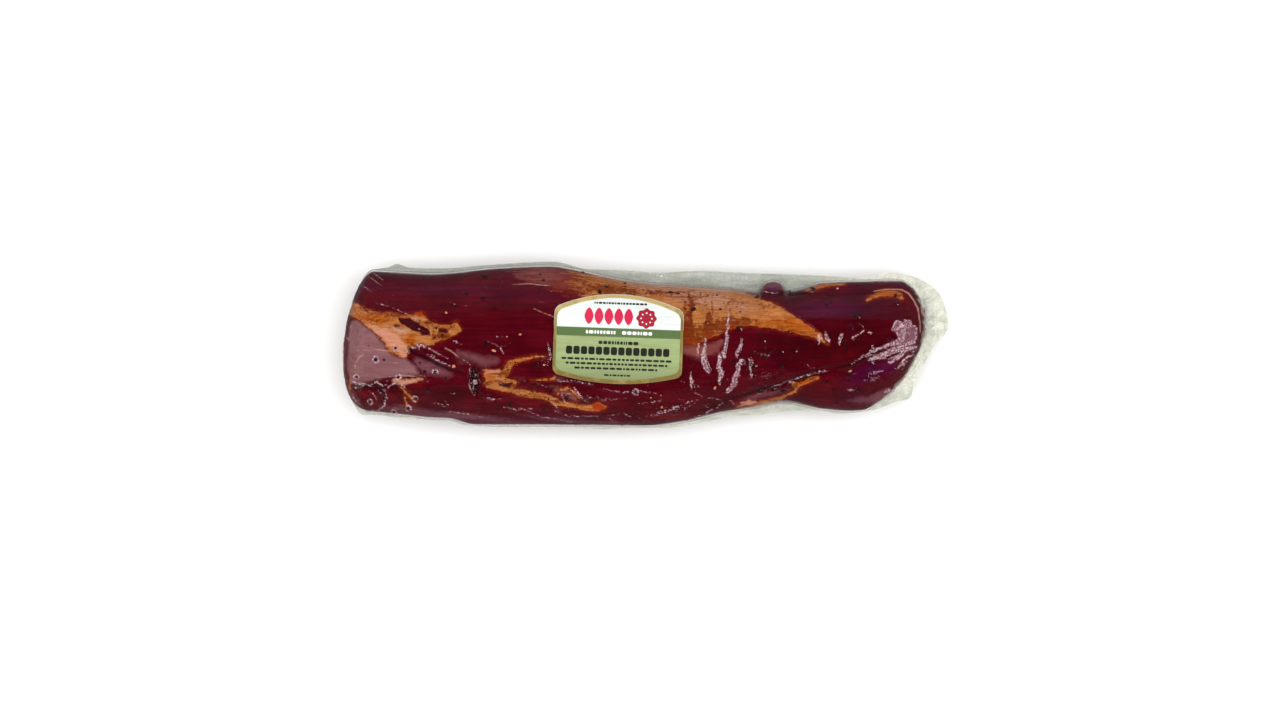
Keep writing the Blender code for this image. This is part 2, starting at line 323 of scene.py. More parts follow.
def repeated_faces(copies: int, sides: int, rings: int, ball: bool) -> list[Numbers]:
    """Faces of many like discs or balls: a fan round the first point, rings of quads, and a ball's last fan.

    Args:
        copies: how many there are, the points of each after those of the one before.
        sides: points round each.
        rings: rings of points from the centre of a disc out, or between the poles of a ball.
        ball: whether it is a ball, whose last point is its lower pole.

    Returns:
        One array of quads, and one of triangles for each fan.
    """
    ring = np.arange(sides)
    after, last = (ring + 1) % sides, 1 + (rings - 1) * sides
    blocks = [
        grid_faces(rings, sides, closed=True)[:, ::-1] + 1,
        np.stack([0 * ring, 1 + ring, 1 + after], axis=-1),
    ]
    if ball:
        blocks.append(np.stack([0 * ring + last + sides, last + after, last + ring], axis=-1))
    offset = (np.arange(copies) * (1 + rings * sides + ball))[:, None, None]
    return [(block[None] + offset).reshape(-1, block.shape[1]) for block in blocks]


def mesh_object(
    name: str,
    points: Floats,
    faces: list[Numbers],
    material: bpy.types.Material,
    values: dict[str, Floats] | None = None,
) -> bpy.types.Object:
    """Makes a smooth-shaded mesh object from arrays and lets it ride on the part's body.

    Args:
        name: the object's name.
        points: an (x, y, z) for each vertex, in mm.
        faces: arrays of faces, each with its own number of corners.
        material: the finish it gets.
        values: float attributes by name, one value for each vertex.

    Returns:
        The object, linked to the scene.
    """
    mesh = bpy.data.meshes.new(name)
    sizes = np.concatenate([np.full(len(block), block.shape[1]) for block in faces])
    corners = np.concatenate([block.ravel() for block in faces])
    mesh.vertices.add(points.size // 3)
    mesh.vertices.foreach_set("co", (points * MM).astype(np.float32).ravel())
    mesh.loops.add(len(corners))
    mesh.loops.foreach_set("vertex_index", corners.astype(np.int32))
    mesh.polygons.add(len(sizes))
    mesh.polygons.foreach_set("loop_start", np.concatenate([[0], np.cumsum(sizes)[:-1]]).astype(np.int32))
    mesh.polygons.foreach_set("loop_total", sizes.astype(np.int32))
    mesh.polygons.foreach_set("use_smooth", np.ones(len(sizes), bool))
    for label, value in (values or {}).items():
        attribute = mesh.attributes.new(label, "FLOAT", "POINT")
        attribute.data.foreach_set("value", value.astype(np.float32).ravel())
    mesh.update(calc_edges=True)
    mesh.validate()
    mesh.materials.append(material)
    made = bpy.data.objects.new(name, mesh)
    bpy.context.scene.collection.objects.link(made)
    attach(made, BODY)
    LOG.info("%s: %d faces", name, len(mesh.polygons))
    return made


@dataclass(frozen=True)
class PackShape:
    """The sealed pack's form: plan, crown, seams and rim, with the values that its solid was made from."""

    meat_start: float = -140.7
    meat_end: float = 129.8
    far_side: Stations = (
        (-141, 35.2), (-115, 34), (-100, 33.2), (-88, 33.9), (-75, 35.4), (-45, 36.8), (-28, 34), (-15, 31),
        (0, 28.8), (20, 27.6), (40, 26), (51.6, 24.8), (53.2, 26.8), (55.4, 29), (59, 29.8), (62.6, 28.9),
        (64.6, 26.4), (66, 25.2), (72, 26.2), (82, 29.2), (105, 30), (130, 30.6),
    )
    near_side: Stations = (
        (-141, -29.4), (-120, -31.4), (-100, -33.4), (-92, -33.8), (-80, -36.6), (-45, -36.8), (0, -37.2),
        (15, -35.6), (35, -31), (52, -28.3), (64, -26.2), (82, -29.4), (95, -30.4), (108, -29.6),
        (130, -29.6),
    )
    start_middle: float = -6.0
    end_middle: float = 8.0
    start_far_corner: Pair = (14.0, 1.75)
    start_near_corner: Pair = (12.0, 2.4)
    end_far_corner: Pair = (14.0, 2.1)
    end_near_corner: Pair = (29.0, 1.5)
    start_crown_corner: Pair = (13.0, 2.4)
    end_crown_corner: Pair = (15.0, 2.2)
    crown: Stations = (
        (-141, 37), (-118, 41.5), (-75, 42), (-35, 41), (10, 39.5), (45, 37), (75, 35), (105, 35.5),
        (130, 33),
    )
    widest_share: float = 0.44
    top_squareness: float = 2.25
    under_squareness: float = 3.0
    sunk_under: float = 1.2
    bag_end: float = 140.7
    rim_thickness: float = 1.0
    least_rim: float = 0.5
    rim_fall: float = 0.22
    rim_far: Stations = (
        (-141, 35.6), (-121, 36.2), (-116, 38), (-110, 36.2), (-95, 35.9), (-75, 37.4), (-43, 39),
        (-28, 35.7), (-12, 35.1), (5, 34.1), (25, 34.8), (48, 33.8), (75, 32.9), (100, 31.8), (114, 34),
        (125, 32), (131, 29), (136, 25), (139, 19), (140.7, 12),
    )
    rim_near: Stations = (
        (-141, -30), (-133.5, -32.5), (-128, -32.2), (-110, -34.3), (-92, -35), (-85, -36.8), (-65, -38),
        (-38, -38), (-20, -39), (-5, -38.2), (8, -38.4), (25, -36), (42, -32.8), (52, -32.2), (70, -30.4),
        (80, -30.3), (90, -31.7), (106, -29.9), (117, -26), (123.4, -24.4), (124.4, -20), (131, -6),
        (135, 1), (139, 5), (140.7, 9),
    )
    rim_start_corner: Pair = (10.0, 2.0)
    rim_leaves_meat: Pair = (-134.0, -121.0)
    end_gap: float = 0.01
    core_share_of_rim: float = 0.35
    seams: tuple[tuple[Stations, float, float], ...] = (
        (((52, 23.4), (66, 23.2), (82, 23.8), (96, 25.4)), 2.6, 1.9),
        (((20, -32.0), (40, -24.8), (60, -18.6), (80, -12.6), (94, -8.6), (104, -3.0), (113, 3.0)), 2.4, 2.1),
        (((-108, -2.0), (-101, -4.8), (-93, -9.6), (-84, -12.6)), 1.6, 1.6),
        (((-79, -11.0), (-79, -22.0)), 1.8, 2.0),
        (((-76, -19.0), (-60, -20.6), (-45, -25.0), (-22, -28.6)), 1.5, 2.0),
        (((-136, -19.0), (-124, -17.4), (-116, -18.2)), 1.8, 1.8),
        (((-122, -20.0), (-121, -28.0)), 1.5, 1.6),
        (((-112, 13.0), (-101, 7.0)), 1.2, 1.8),
    )
    lobes: Stations = (
        (-129.0, -24.0, 6.0, 4.5, 1.4),
        (-117.0, -23.5, 3.5, 3.5, 0.9),
        (-104.0, -20.0, 9.0, 4.0, 0.8),
        (97.0, -18.0, 13.0, 8.0, 1.8),
        (112.0, 22.0, 8.0, 4.0, 0.9),
        (-116.0, 3.0, 6.0, 5.0, 0.9),
    )

    def meat_sides(self, x: Floats) -> tuple[Floats, Floats]:
        """Far and near side of the meat: the smooth sides, closed on the middle of each rounded end.

        Args:
            x: position along the meat.

        Returns:
            The far and the near Y. Past the tail they stay a little apart, inside the rim.
        """
        sides = []
        corners = (
            (self.far_side, self.start_far_corner, self.end_far_corner),
            (self.near_side, self.start_near_corner, self.end_near_corner),
        )
        for stations, start, end in corners:
            side = smooth_line(stations, x)
            share = corner_share(x - self.meat_start, start)
            side = self.start_middle + (side - self.start_middle) * share
            share = corner_share(self.meat_end - x, end)
            sides.append(self.end_middle + (side - self.end_middle) * share)
        rim_far, rim_near = smooth_line(self.rim_far, x), smooth_line(self.rim_near, x)
        middle = (rim_far + rim_near) / 2
        core = (rim_far - rim_near) / 2 * self.core_share_of_rim
        reach = self.end_crown_corner[0]
        past_tail = np.clip((x - self.meat_end + reach) / reach, 0, 1) ** 3
        far = np.maximum(sides[0], middle + core * past_tail)
        return far, np.minimum(sides[1], middle - core * past_tail)

    def rim_sides(self, x: Floats) -> tuple[Floats, Floats]:
        """Far and near edge of the bag: the drawn film's edge, never less than a weld's width off the meat.

        Args:
            x: position along the bag.

        Returns:
            The far and the near Y.
        """
        share = corner_share(x - self.meat_start, self.rim_start_corner)
        far = self.start_middle + (smooth_line(self.rim_far, x) - self.start_middle) * share
        near = self.start_middle + (smooth_line(self.rim_near, x) - self.start_middle) * share
        meat_far, meat_near = self.meat_sides(x)
        hugging = meat_far + self.least_rim
        far = hugging + (np.maximum(far, hugging) - hugging) * ease(x, *self.rim_leaves_meat)
        return far, np.minimum(near, meat_near - self.least_rim)

    def placed_across(self, x: Floats, share: Floats) -> Floats:
        """Turns a share of the half width, -1 near and 1 far, into a Y.

        Args:
            x: position along the meat.
            share: the share at each x.

        Returns:
            The Y of each.
        """
        far, near = self.meat_sides(x)
        return (far + near) / 2 + share * (far - near) / 2

    def crown_share(self, x: Floats) -> Floats:
        """Share of the full height at x: 1, but for the two rounded ends."""
        start = corner_share(x - self.meat_start, self.start_crown_corner)
        return start * corner_share(self.meat_end - x, self.end_crown_corner)

    def widest(self, x: Floats) -> Floats:
        """Height at which a cross-section is widest, a fixed share of its crown."""
        return smooth_line(self.crown, x) * self.widest_share

    def relief(self, x: Floats, y: Floats, bridged: float = 0.0) -> Floats:
        """Rise over a smooth body: each seam a rounded dip along its path, each lobe a soft hump.

        Args:
            x: plan position along the meat.
            y: plan position across it.
            bridged: share of each dip that is left out, as where film spans a seam.

        Returns:
            The rise, in mm.
        """
        rise = blobs(x, y, self.lobes)
        for points, depth, half_width in self.seams:
            dip = depth * np.exp(-((path_distance(x, y, points) / half_width) ** 2))
            rise = rise - (1 - bridged) * dip
        return rise

    def profile(self, x: Floats, y: Floats, squareness: float) -> Floats:
        """Share of the height at y: a superellipse across the meat times the share at x.

        Args:
            x: plan position along the meat.
            y: plan position across it.
            squareness: the superellipse's power.

        Returns:
            1 at the crown and 0 at the widest line.
        """
        far, near = self.meat_sides(x)
        across = np.clip(np.abs(y - (far + near) / 2) / ((far - near) / 2), 0, 1)
        return (1 - across**squareness) ** (1 / squareness) * self.crown_share(x)

    def top(self, x: Floats, y: Floats, bridged: float = 0.0) -> Floats:
        """Height of the upper side: from the widest line up to the crown by the profile, plus the relief.

        Args:
            x: plan position along the meat.
            y: plan position across it.
            bridged: share of each seam's dip that is left out.

        Returns:
            The height over the table, in mm.
        """
        profile = self.profile(x, y, self.top_squareness)
        foot = self.widest(x) + self.rim_thickness / 2
        rise = self.relief(x, y, bridged) * np.sqrt(profile)
        return foot + (smooth_line(self.crown, x) - foot) * profile + rise

    def under(self, x: Floats, y: Floats) -> Floats:
        """Height of the lower side: down by the profile to a flat patch on the table.

        Args:
            x: plan position along the meat.
            y: plan position across it.

        Returns:
            The height over the table, in mm.
        """
        profile = self.profile(x, y, self.under_squareness)
        foot = self.widest(x) - self.rim_thickness / 2
        return np.maximum(foot - (foot + self.sunk_under) * profile, 0)

    def unrolled(self, x: Floats, y: Floats, upper: bool = True) -> tuple[Floats, Floats]:
        """Place on the skin laid flat, so that noise isn't stretched down a side: the place plus the fall.

        Args:
            x: plan position along the meat.
            y: plan position across it.
            upper: the upper side, or the lower one, which carries on past each side.

        Returns:
            The place along and across.
        """
        far, near = self.meat_sides(x)
        foot = self.widest(x)
        fall = smooth_line(self.crown, x) - foot
        share = self.crown_share(x)
        along = x + np.sign(x) * (1 - share) * fall
        outwards = np.sign(y - (far + near) / 2)
        if upper:
            return along, y + outwards * fall * (share - self.profile(x, y, self.top_squareness))
        past = fall * share + foot * self.profile(x, y, self.under_squareness)
        return along, 2 * np.where(outwards > 0, far, near) - y + outwards * past

    def stations(self, end: float, step: float, corner_steps: int) -> Floats:
        """Every x at which a surface has a row: even along the middle, closer together at the rounded ends.

        Args:
            end: where the rows end, the meat's or the bag's end.
            step: spacing along the middle, in mm.
            corner_steps: rows in each rounded end.

        Returns:
            The x of each row.
        """
        turn = np.linspace(0, math.pi / 2, corner_steps + 1)
        start = self.meat_start + self.end_gap + self.start_crown_corner[0] * (1 - np.cos(turn))
        finish = self.meat_end - self.end_gap - self.end_crown_corner[0] * (1 - np.cos(turn[::-1]))
        count = round((finish[0] - start[-1]) / step)
        middle = np.linspace(start[-1], finish[0], count + 1)[1:-1]
        tab = np.arange(self.meat_end + step / 2, end, step)
        return np.concatenate([start, middle, finish, tab, [end] if end > self.meat_end else []])

    def across(self, x: Floats, columns: int, squareness: float) -> tuple[Floats, Floats]:
        """Spreads points evenly along a cross-section's curve: cosine to the power of 2 over squareness.

        Args:
            x: one x for each row.
            columns: gaps between the points of a row.
            squareness: the superellipse's power.

        Returns:
            Grids of x and y, from the far side to the near side.
        """
        far, near = self.meat_sides(x)
        turn = np.cos(np.linspace(0, math.pi, columns + 1))
        share = np.sign(turn) * np.abs(turn) ** (2 / squareness)
        grid_y = ((far + near) / 2)[:, None] + ((far - near) / 2)[:, None] * share[None, :]
        return np.repeat(x[:, None], columns + 1, axis=1), grid_y


@dataclass(frozen=True)
class MeatMarks:
    """Where the tenderloin's fat, silverskin, seams and vessels lie, in plan, as outlines and strokes."""

    left_fat: Stations = (
        (-141, 15.5), (-139.5, 21.5), (-136.5, 21), (-133.5, 19.3), (-130, 17), (-124, 15.3), (-118, 15.3),
        (-112.5, 14), (-108, 13.8), (-103.5, 14.8), (-101, 13), (-99, 10.8), (-95, 9.8), (-90, 9.3),
        (-88.5, 10.8), (-87, 10.8), (-85, 7.5), (-88, 5), (-92.5, 3), (-97, 1), (-100.5, 0.2), (-103.5, 1.2),
        (-106, 0.5), (-108.5, -0.8), (-109.8, -3.5), (-110.5, -5), (-113, -5.2), (-117, -3.5), (-119.3, -1),
        (-120.3, 1.5), (-122.5, 4.5), (-127, 8), (-131, 10.5), (-134.5, 13),
    )
    cap: Stations = (
        (-66, 78), (-62, 36), (-50, 30), (-40, 25), (-31, 20), (-20, 12), (0, 2), (15, 0.2), (21, 0.4),
        (24, 1), (27, 2.5), (30, 3.8), (33, 5.2), (36, 6.8), (39, 8.2), (42, 8.9), (47, 8.9), (52, 8.5),
        (58, 7.9), (63, 7), (68, 6), (74, 4.4), (79, 2.8), (82, 1.4), (83.5, 0.8), (80, 5.5), (77, 7.5),
        (73, 10), (69, 12.7), (66, 15), (62.5, 17.6), (58, 19.4), (53, 21.4), (48, 23.6), (44, 25.3),
        (41, 28), (36, 78),
    )
    cap_fades: float = -31.0
    thin_fat_fades: float = -60.0
    fat_strokes: tuple[Stations, ...] = (
        ((-72.5, -13.5, 2.2), (-67.5, -14, 2.4), (-64.8, -12.5, 1.5), (-62.5, -8.5, 1.3), (-60, -7, 0.9),
         (-56, -6.2, 0.7), (-51, -5.2, 0.45), (-46, -4.8, 0.3)),
        ((-72.5, -17.8, 2), (-69.5, -18.5, 2), (-64, -20.6, 1), (-58, -21.8, 1.5), (-50, -23.2, 1.3),
         (-44.5, -24.5, 1.2), (-41.5, -26.5, 1.6), (-36, -27.5, 1), (-30, -28.6, 0.9), (-25, -29, 1.4),
         (-21.5, -28.3, 1.8), (-19.8, -28.5, 1.1)),
        ((-66, -16.5, 1), (-60.5, -17.2, 1), (-62, -19.5, 0.8)),
        ((-41, -22.5, 0.25), (-39, -20.2, 0.4), (-35.5, -19.8, 0.4), (-33, -22, 0.35), (-31, -24.5, 0.2)),
        ((79, -15, 0.4), (76, -15.7, 0.8), (72, -17.5, 0.9), (69.5, -19.3, 0.8), (68.5, -21.5, 0.45),
         (65, -23, 0.35), (61.5, -25, 0.9), (57, -25.8, 0.8), (52, -27.3, 1.1), (46, -27.2, 0.6),
         (42, -28.5, 0.3)),
        ((66.5, -16.8, 0.7), (68.5, -18, 1.1), (70, -18.4, 0.8)),
        ((102, 21, 0.4), (105, 23, 0.8), (109, 24.3, 1.2), (114, 24.3, 1.4), (117, 23.3, 1.2),
         (118, 21.6, 0.7)),
        ((75, 26, 0.9), (78.5, 26.8, 1), (83, 28.4, 0.8), (92, 28.8, 0.5)),
        ((-113.5, -19, 0.4), (-111, -21.5, 0.5), (-108.5, -24, 0.7), (-106.5, -26, 0.5)),
        ((-111.3, -24, 0.35), (-110.7, -28, 0.4)),
        ((-134.6, -11, 0.3), (-133.4, -14.5, 1), (-132.5, -16.6, 1.5)),
        ((-136.6, -13, 0.3), (-136.8, -18, 0.5), (-137.5, -21, 0.4)),
        ((-53, -16, 0.2), (-47, -16, 0.3), (-42.5, -15, 0.7)),
    )
    orange: Stations = (
        (-131, 13, 5, 2.5, 1), (-121, 12, 6, 3, 1), (-113, 8, 4, 2.5, 0.5), (-108, 2.5, 3.5, 3, 1.1),
        (-104, 14, 3, 1.6, 0.8), (-70, -14.5, 7, 4, 0.7), (-60, -8, 5, 3, 0.7), (-50, -24, 9, 3, 0.6),
        (-22, -28.5, 3.5, 2, 1.2), (25, 6, 5, 5, 0.6), (35, 9, 6, 4, 0.5), (55, 10, 14, 2.5, 0.9),
        (66, 12, 6, 3, 0.6), (73, 7, 9, 3, 1), (72, -17, 7, 3, 0.9), (58, -26, 6, 2, 0.6),
        (84, 28, 8, 2, 0.8), (112, 24, 8, 3, 1), (20, 4, 4, 3, 0.5), (80, 3.4, 5, 2.4, 0.2),
    )
    peach: tuple[Stations, ...] = (
        ((-136.5, 20.3, 0.5), (-133, 18.5, 0.5)),
        ((-127, 8.8, 0.7), (-121, 6, 2), (-116, 2.5, 3.1), (-112.6, -1.5, 2.3), (-111.6, -4.2, 1.2)),
        ((-115.5, -16.5, 0.8), (-112, -17, 1.4), (-108, -16.3, 1), (-103, -15.6, 0.4)),
        ((-74, -12, 0.5), (-68, -11.8, 0.6)),
        ((44, -27, 0.6), (48, -26.4, 0.9), (51, -26, 0.3)),
    )
    islands: tuple[Stations, ...] = (
        ((-113.3, 11.6, 0.9), (-110, 10.6, 1.9), (-106, 8.6, 2), (-102, 6.6, 1.6), (-100, 5.8, 0.9)),
        ((-94.5, 6.9, 0.8), (-92, 6.6, 1)),
        ((-98.5, 3.4, 0.5), (-97, 3.6, 0.6)),
        ((-68, -17.6, 0.4), (-64.5, -18.3, 0.9), (-61.5, -17.4, 0.3)),
    )
    thin_fat: Stations = (
        (-84, 78), (-76, 40), (-58, 30.5), (-52, 28.8), (-45, 27.3), (-38, 25.6), (-34, 25.2), (-22, 20),
        (-22, 78),
    )
    veiled_fat: tuple[Stations, ...] = (
        ((17, -1, 2.8), (24, -2.6, 3), (31, -1.5, 2.8), (34, 1.5, 1.6)),
        ((-41, -21, 1.6), (-36, -22, 2), (-32, -25, 1.4)),
        ((127.5, 18.5, 0.6), (128.2, 14, 0.8)),
    )
    silverskin: Stations = (
        (-138, 6), (-136.6, 11), (-134, 12), (-131, 10.3), (-127, 7.6), (-122.5, 4), (-120.3, 1),
        (-119.3, -1.4), (-117, -3.9), (-113, -5.6), (-110.3, -5.6), (-108.6, -7.5), (-106.5, -10),
        (-104, -13.4), (-110, -14.3), (-116, -14.6), (-121, -15.6), (-127, -17), (-131, -18), (-134.5, -19),
        (-136.8, -17.6), (-138.2, -10),
    )
    # Membrane seen through the film; the strokes along the lower and left edges are a painted reflection.
    veiled_skin: tuple[Stations, ...] = (
        ((-105, -8.5, 2.6), (-99, -10.4, 3), (-93, -12.6, 1.6), (-90, -13.6, 0.8)),
        ((-86, -3.5, 1.2), (-80, -5.5, 1.6), (-75, -7.5, 2.2), (-69, -7, 1.4)),
        ((-121, -29.5, 0.4), (-112, -29.5, 2), (-100, -32, 1.6), (-80, -33.5, 1.6), (-64, -35.2, 0.8),
         (-48, -36, -1.5)),
        ((-64, -31, -0.8), (-50, -33.6, 0.2), (-38, -34.8, 0.5), (-24, -35.6, 0.2), (-8, -36.4, 0),
         (4, -36, -1.2)),
        ((40, -27.6, -0.6), (48, -24.6, 0.7), (57, -22.2, 0.9), (66, -20.6, 0.2), (72, -20, -1)),
        ((92, -26, -0.8), (97, -25.4, 0.8), (103, -25.6, 1.4), (108, -24.6, 3), (112, -22.4, 2.4),
         (117, -20, -1.5)),
        ((-138.5, -20, 1.4), (-134, -27, 1.2)),
        ((-139.6, 12, 0), (-140.6, 0, 0.4), (-140.3, -12, 0.3), (-138.6, -21, 0)),
        ((18, -3, 0.4), (24, -4.6, 1.5), (30, -3.6, 0.6)),
        ((55.4, 27.6, 1), (58.8, 28.4, 1.8), (62.4, 27.4, 1)),
    )
    # Pale veins, and pale lines that are painted highlights: along a seam's edge and the film's creases at
    # the far left.
    veins_and_highlight_lines: tuple[Stations, ...] = (
        ((-139.7, 4.6, 0.3), (-137.5, 3, 0.4), (-135.3, 1.2, 0.2)),
        ((-131, -1.7, 0.15), (-127, -2.2, 0.3), (-122, -2, 0.3), (-118, -2.8, 0.2)),
        ((-130, -4, 0.15), (-132.5, -6, 0.3), (-134, -8.5, 0.35), (-134.6, -11, 0.3)),
        ((-116, -8.2, 0.2), (-112.5, -7.8, 0.2)),
        ((-119.5, -14.8, 0.2), (-113, -13.9, 0.35), (-106, -14.1, 0.3), (-100, -14.4, 0.15)),
        ((-117, 8.6, 0.3), (-114, 7.2, 0.5), (-110.5, 5.6, 0.3)),
        ((-94, -0.4, 0.15), (-90, -2.6, 0.3), (-86, -5.2, 0.2)),
        ((105, 25.2, 0.2), (112, 26.2, 0.3), (118, 26, 0.3), (121.5, 24, 0.35), (124, 20.5, 0.35),
         (125.6, 17, 0.35), (126.3, 12, 0.3), (126.6, 6, 0.2)),
        ((-52, 17, 0.1), (-46, 14.5, 0.2), (-42, 13, 0.1)),
        ((-62, 28.2, 0.1), (-55, 28.6, 0.25), (-45, 27.6, 0.15)),
        ((-138.4, 21.6, 0.1), (-135.6, 24.4, 0.25), (-132.6, 25.2, 0.1)),
        ((-135, 30.4, 0.05), (-131.4, 28, 0.2), (-127.6, 25, 0.05)),
        ((-130, 33, 0), (-126, 30.4, 0.15), (-121.6, 27.4, 0)),
    )
    vessels: tuple[Stations, ...] = (
        ((21.2, 21, 0.4), (20.4, 14, 0.6), (20.8, 8, 0.6), (20.2, 2, 0.4)),
        ((28.8, 14, 0.4), (28.4, 9, 0.6), (27.6, 2.6, 0.5)),
        ((30.2, 21, 0.15), (30.4, 14.5, 0.2)),
        ((17.8, 20, 0.2), (18.4, 12, 0.3), (17.6, 5, 0.2)),
        ((24, 9, 0.1), (23, 5, 0.2), (24, 2, 0.15)),
        ((60.5, 7.7, 0.15), (65, 6.95, 0.2), (70, 6.2, 0.25), (76, 5.2, 0.2), (79, 4.8, 0.1)),
        ((0, 26, 0.2), (6, 24.5, 0.35), (13, 24.6, 0.3), (22, 25.6, 0.15)),
        ((8, 23, 0.15), (16, 22.4, 0.35), (28, 22.6, 0.15)),
        ((-29, 28.5, 0.2), (-24, 27.6, 0.35), (-14, 26.8, 0.2)),
        ((36, 17, 0.1), (38, 20, 0.2), (41, 21.6, 0.1)),
    )
    dark_seams: tuple[Stations, ...] = (
        ((53, 25.6, 0.3), (56, 24.3, 0.7), (62, 23.9, 0.6), (70, 24.3, 0.9), (76, 24.4, 0.5), (84, 24, 0.2)),
        ((64, 26, 0.3), (68, 25.8, 0.6), (73, 26.4, 0.5)),
        ((-109.4, -1.2, 0.5), (-107.6, -3.2, 0.8), (-102, -5.4, 0.6), (-97, -8, 0.7), (-91, -11.4, 0.6),
         (-85, -12.4, 0.4)),
        ((-108.6, -5.4, 0.2), (-106, -9, 0.25), (-103.6, -12.6, 0.2)),
        ((-79.4, -10.5, 0.9), (-79, -15, 1.5), (-78.6, -20, 1.4), (-77.6, -23, 0.6)),
        ((-136.5, -18.8, 0.5), (-130, -19.2, 1.1), (-124, -19, 1), (-121.3, -21, 0.8), (-120.8, -25, 0.7),
         (-122.5, -28, 0.4)),
        ((-119, -19.3, 0.5), (-115, -19.2, 0.5), (-112.6, -21, 0.5)),
        ((24, -30.4, 0.3), (40, -24.6, 0.5), (54, -20.3, 0.7), (66, -16.6, 0.6), (80, -12.4, 0.35)),
        ((88, -10.6, 0.2), (96, -8, 0.5), (103, -4, 0.4), (110, -1.2, 0.3)),
        ((104, -7.4, 0.2), (112, -5, 0.5), (118, -2.6, 0.5), (121, 0.4, 0.2)),
        ((115, -10, 0.3), (120, -7, 0.5), (125, -3, 0.3)),
        ((66.5, -15.6, 0.3), (68.5, -16.2, 0.6), (70.4, -15.6, 0.2)),
        ((-113.5, -24, 0.2), (-115.5, -21.2, 0.3), (-118, -20.4, 0.2)),
        ((76, 25.4, 0.4), (78, 26, 0.5)),
    )
    deep: Stations = (
        (62, -2, 26, 9, 1), (88, 4, 14, 6, 0.5), (-129, -23.5, 6.5, 4, 0.6), (-116.5, -23, 4, 3, 0.5),
        (-92, -21, 12, 5, 0.7), (-134, 22.5, 4, 2.5, 0.7), (-122, 17.5, 9, 1.6, 0.7), (-85, 4, 22, 6, 0.5),
        (-50, -11, 7, 3, 0.7), (66, 25, 8, 1.5, 1), (100, 14, 16, 6, 0.8), (-60, 0, 18, 6, 0.35),
        (60, -21, 8, 2.5, 0.7), (94, 1, 24, 9, 0.7), (90, 26, 24, 4, 0.6), (80, -22, 20, 4, 0.5),
        (118, 12, 6, 10, 0.5), (100, -26, 12, 3, 0.5), (20, -14, 12, 5, 0.4), (-80, 28, 40, 4, 0.3),
        (-98, -29, 16, 3, 0.4), (-79, -16, 3, 7, 0.8), (-90, -22, 9, 3.4, 0.8), (78, 18, 22, 5, 0.6),
        (-20, -19, 24, 3, 0.5), (100, 20, 14, 3, 0.7), (0, -26, 14, 3, 0.5),
    )
    ruddy: Stations = (
        (-140, -3, 1.5, 18, 1.2), (-128, -27, 3, 1.2, 1), (-130, -22.6, 4, 2.2, 0.9),
        (-124.6, -27.6, 3, 1.6, 0.8), (-116.6, -23.6, 3, 2, 0.8), (5, -25, 24, 8, 0.4),
        (10, -33, 9, 1.5, 1.1), (112, 24, 6, 1.6, 0.8), (-53, -27, 6, 1.2, 1.3), (-106, -17.5, 6, 1.6, 1.2),
        (-103, 14.4, 3, 1.4, 1.5), (92, -4, 14, 5, 0.5), (78, -20, 12, 4, 0.5), (-22, -28.6, 3, 1.8, 1.5),
        (20, 2, 5, 2, 0.9), (30, 4.6, 5, 2, 1), (40, 8.6, 5, 1.2, 0.9), (-109, 1.5, 2, 2, 0.8),
        (-62, -8.4, 3, 1, 0.8), (-75, 12, 14, 4, 0.4), (-108, -27, 3, 1.5, 0.8), (-70, -25.5, 5, 1, 1),
        (121, 20, 2, 4, 0.6),
    )
    bruise: Stations = (
        (104, -11, 8, 4, 0.9), (84, 17, 24, 5, 0.9), (97, -16, 8, 4, 0.8), (58.5, 28, 5, 3.2, 1.6),
        (-128, 28, 5, 4, 0.5), (113, -9, 5, 3, 0.7), (112, -11.5, 4, 1.6, 0.5), (118, 28, 5, 1.5, 0.8),
        (-55, 24, 30, 5, 0.45), (97, -25, 9, 3, 0.8), (-100, 27, 30, 6, 0.5), (95, 26, 20, 3, 0.5),
        (-60, -34, 60, 3, 0.5), (60, -25, 20, 2.5, 0.6), (-137, 24, 3.4, 6, 1),
    )
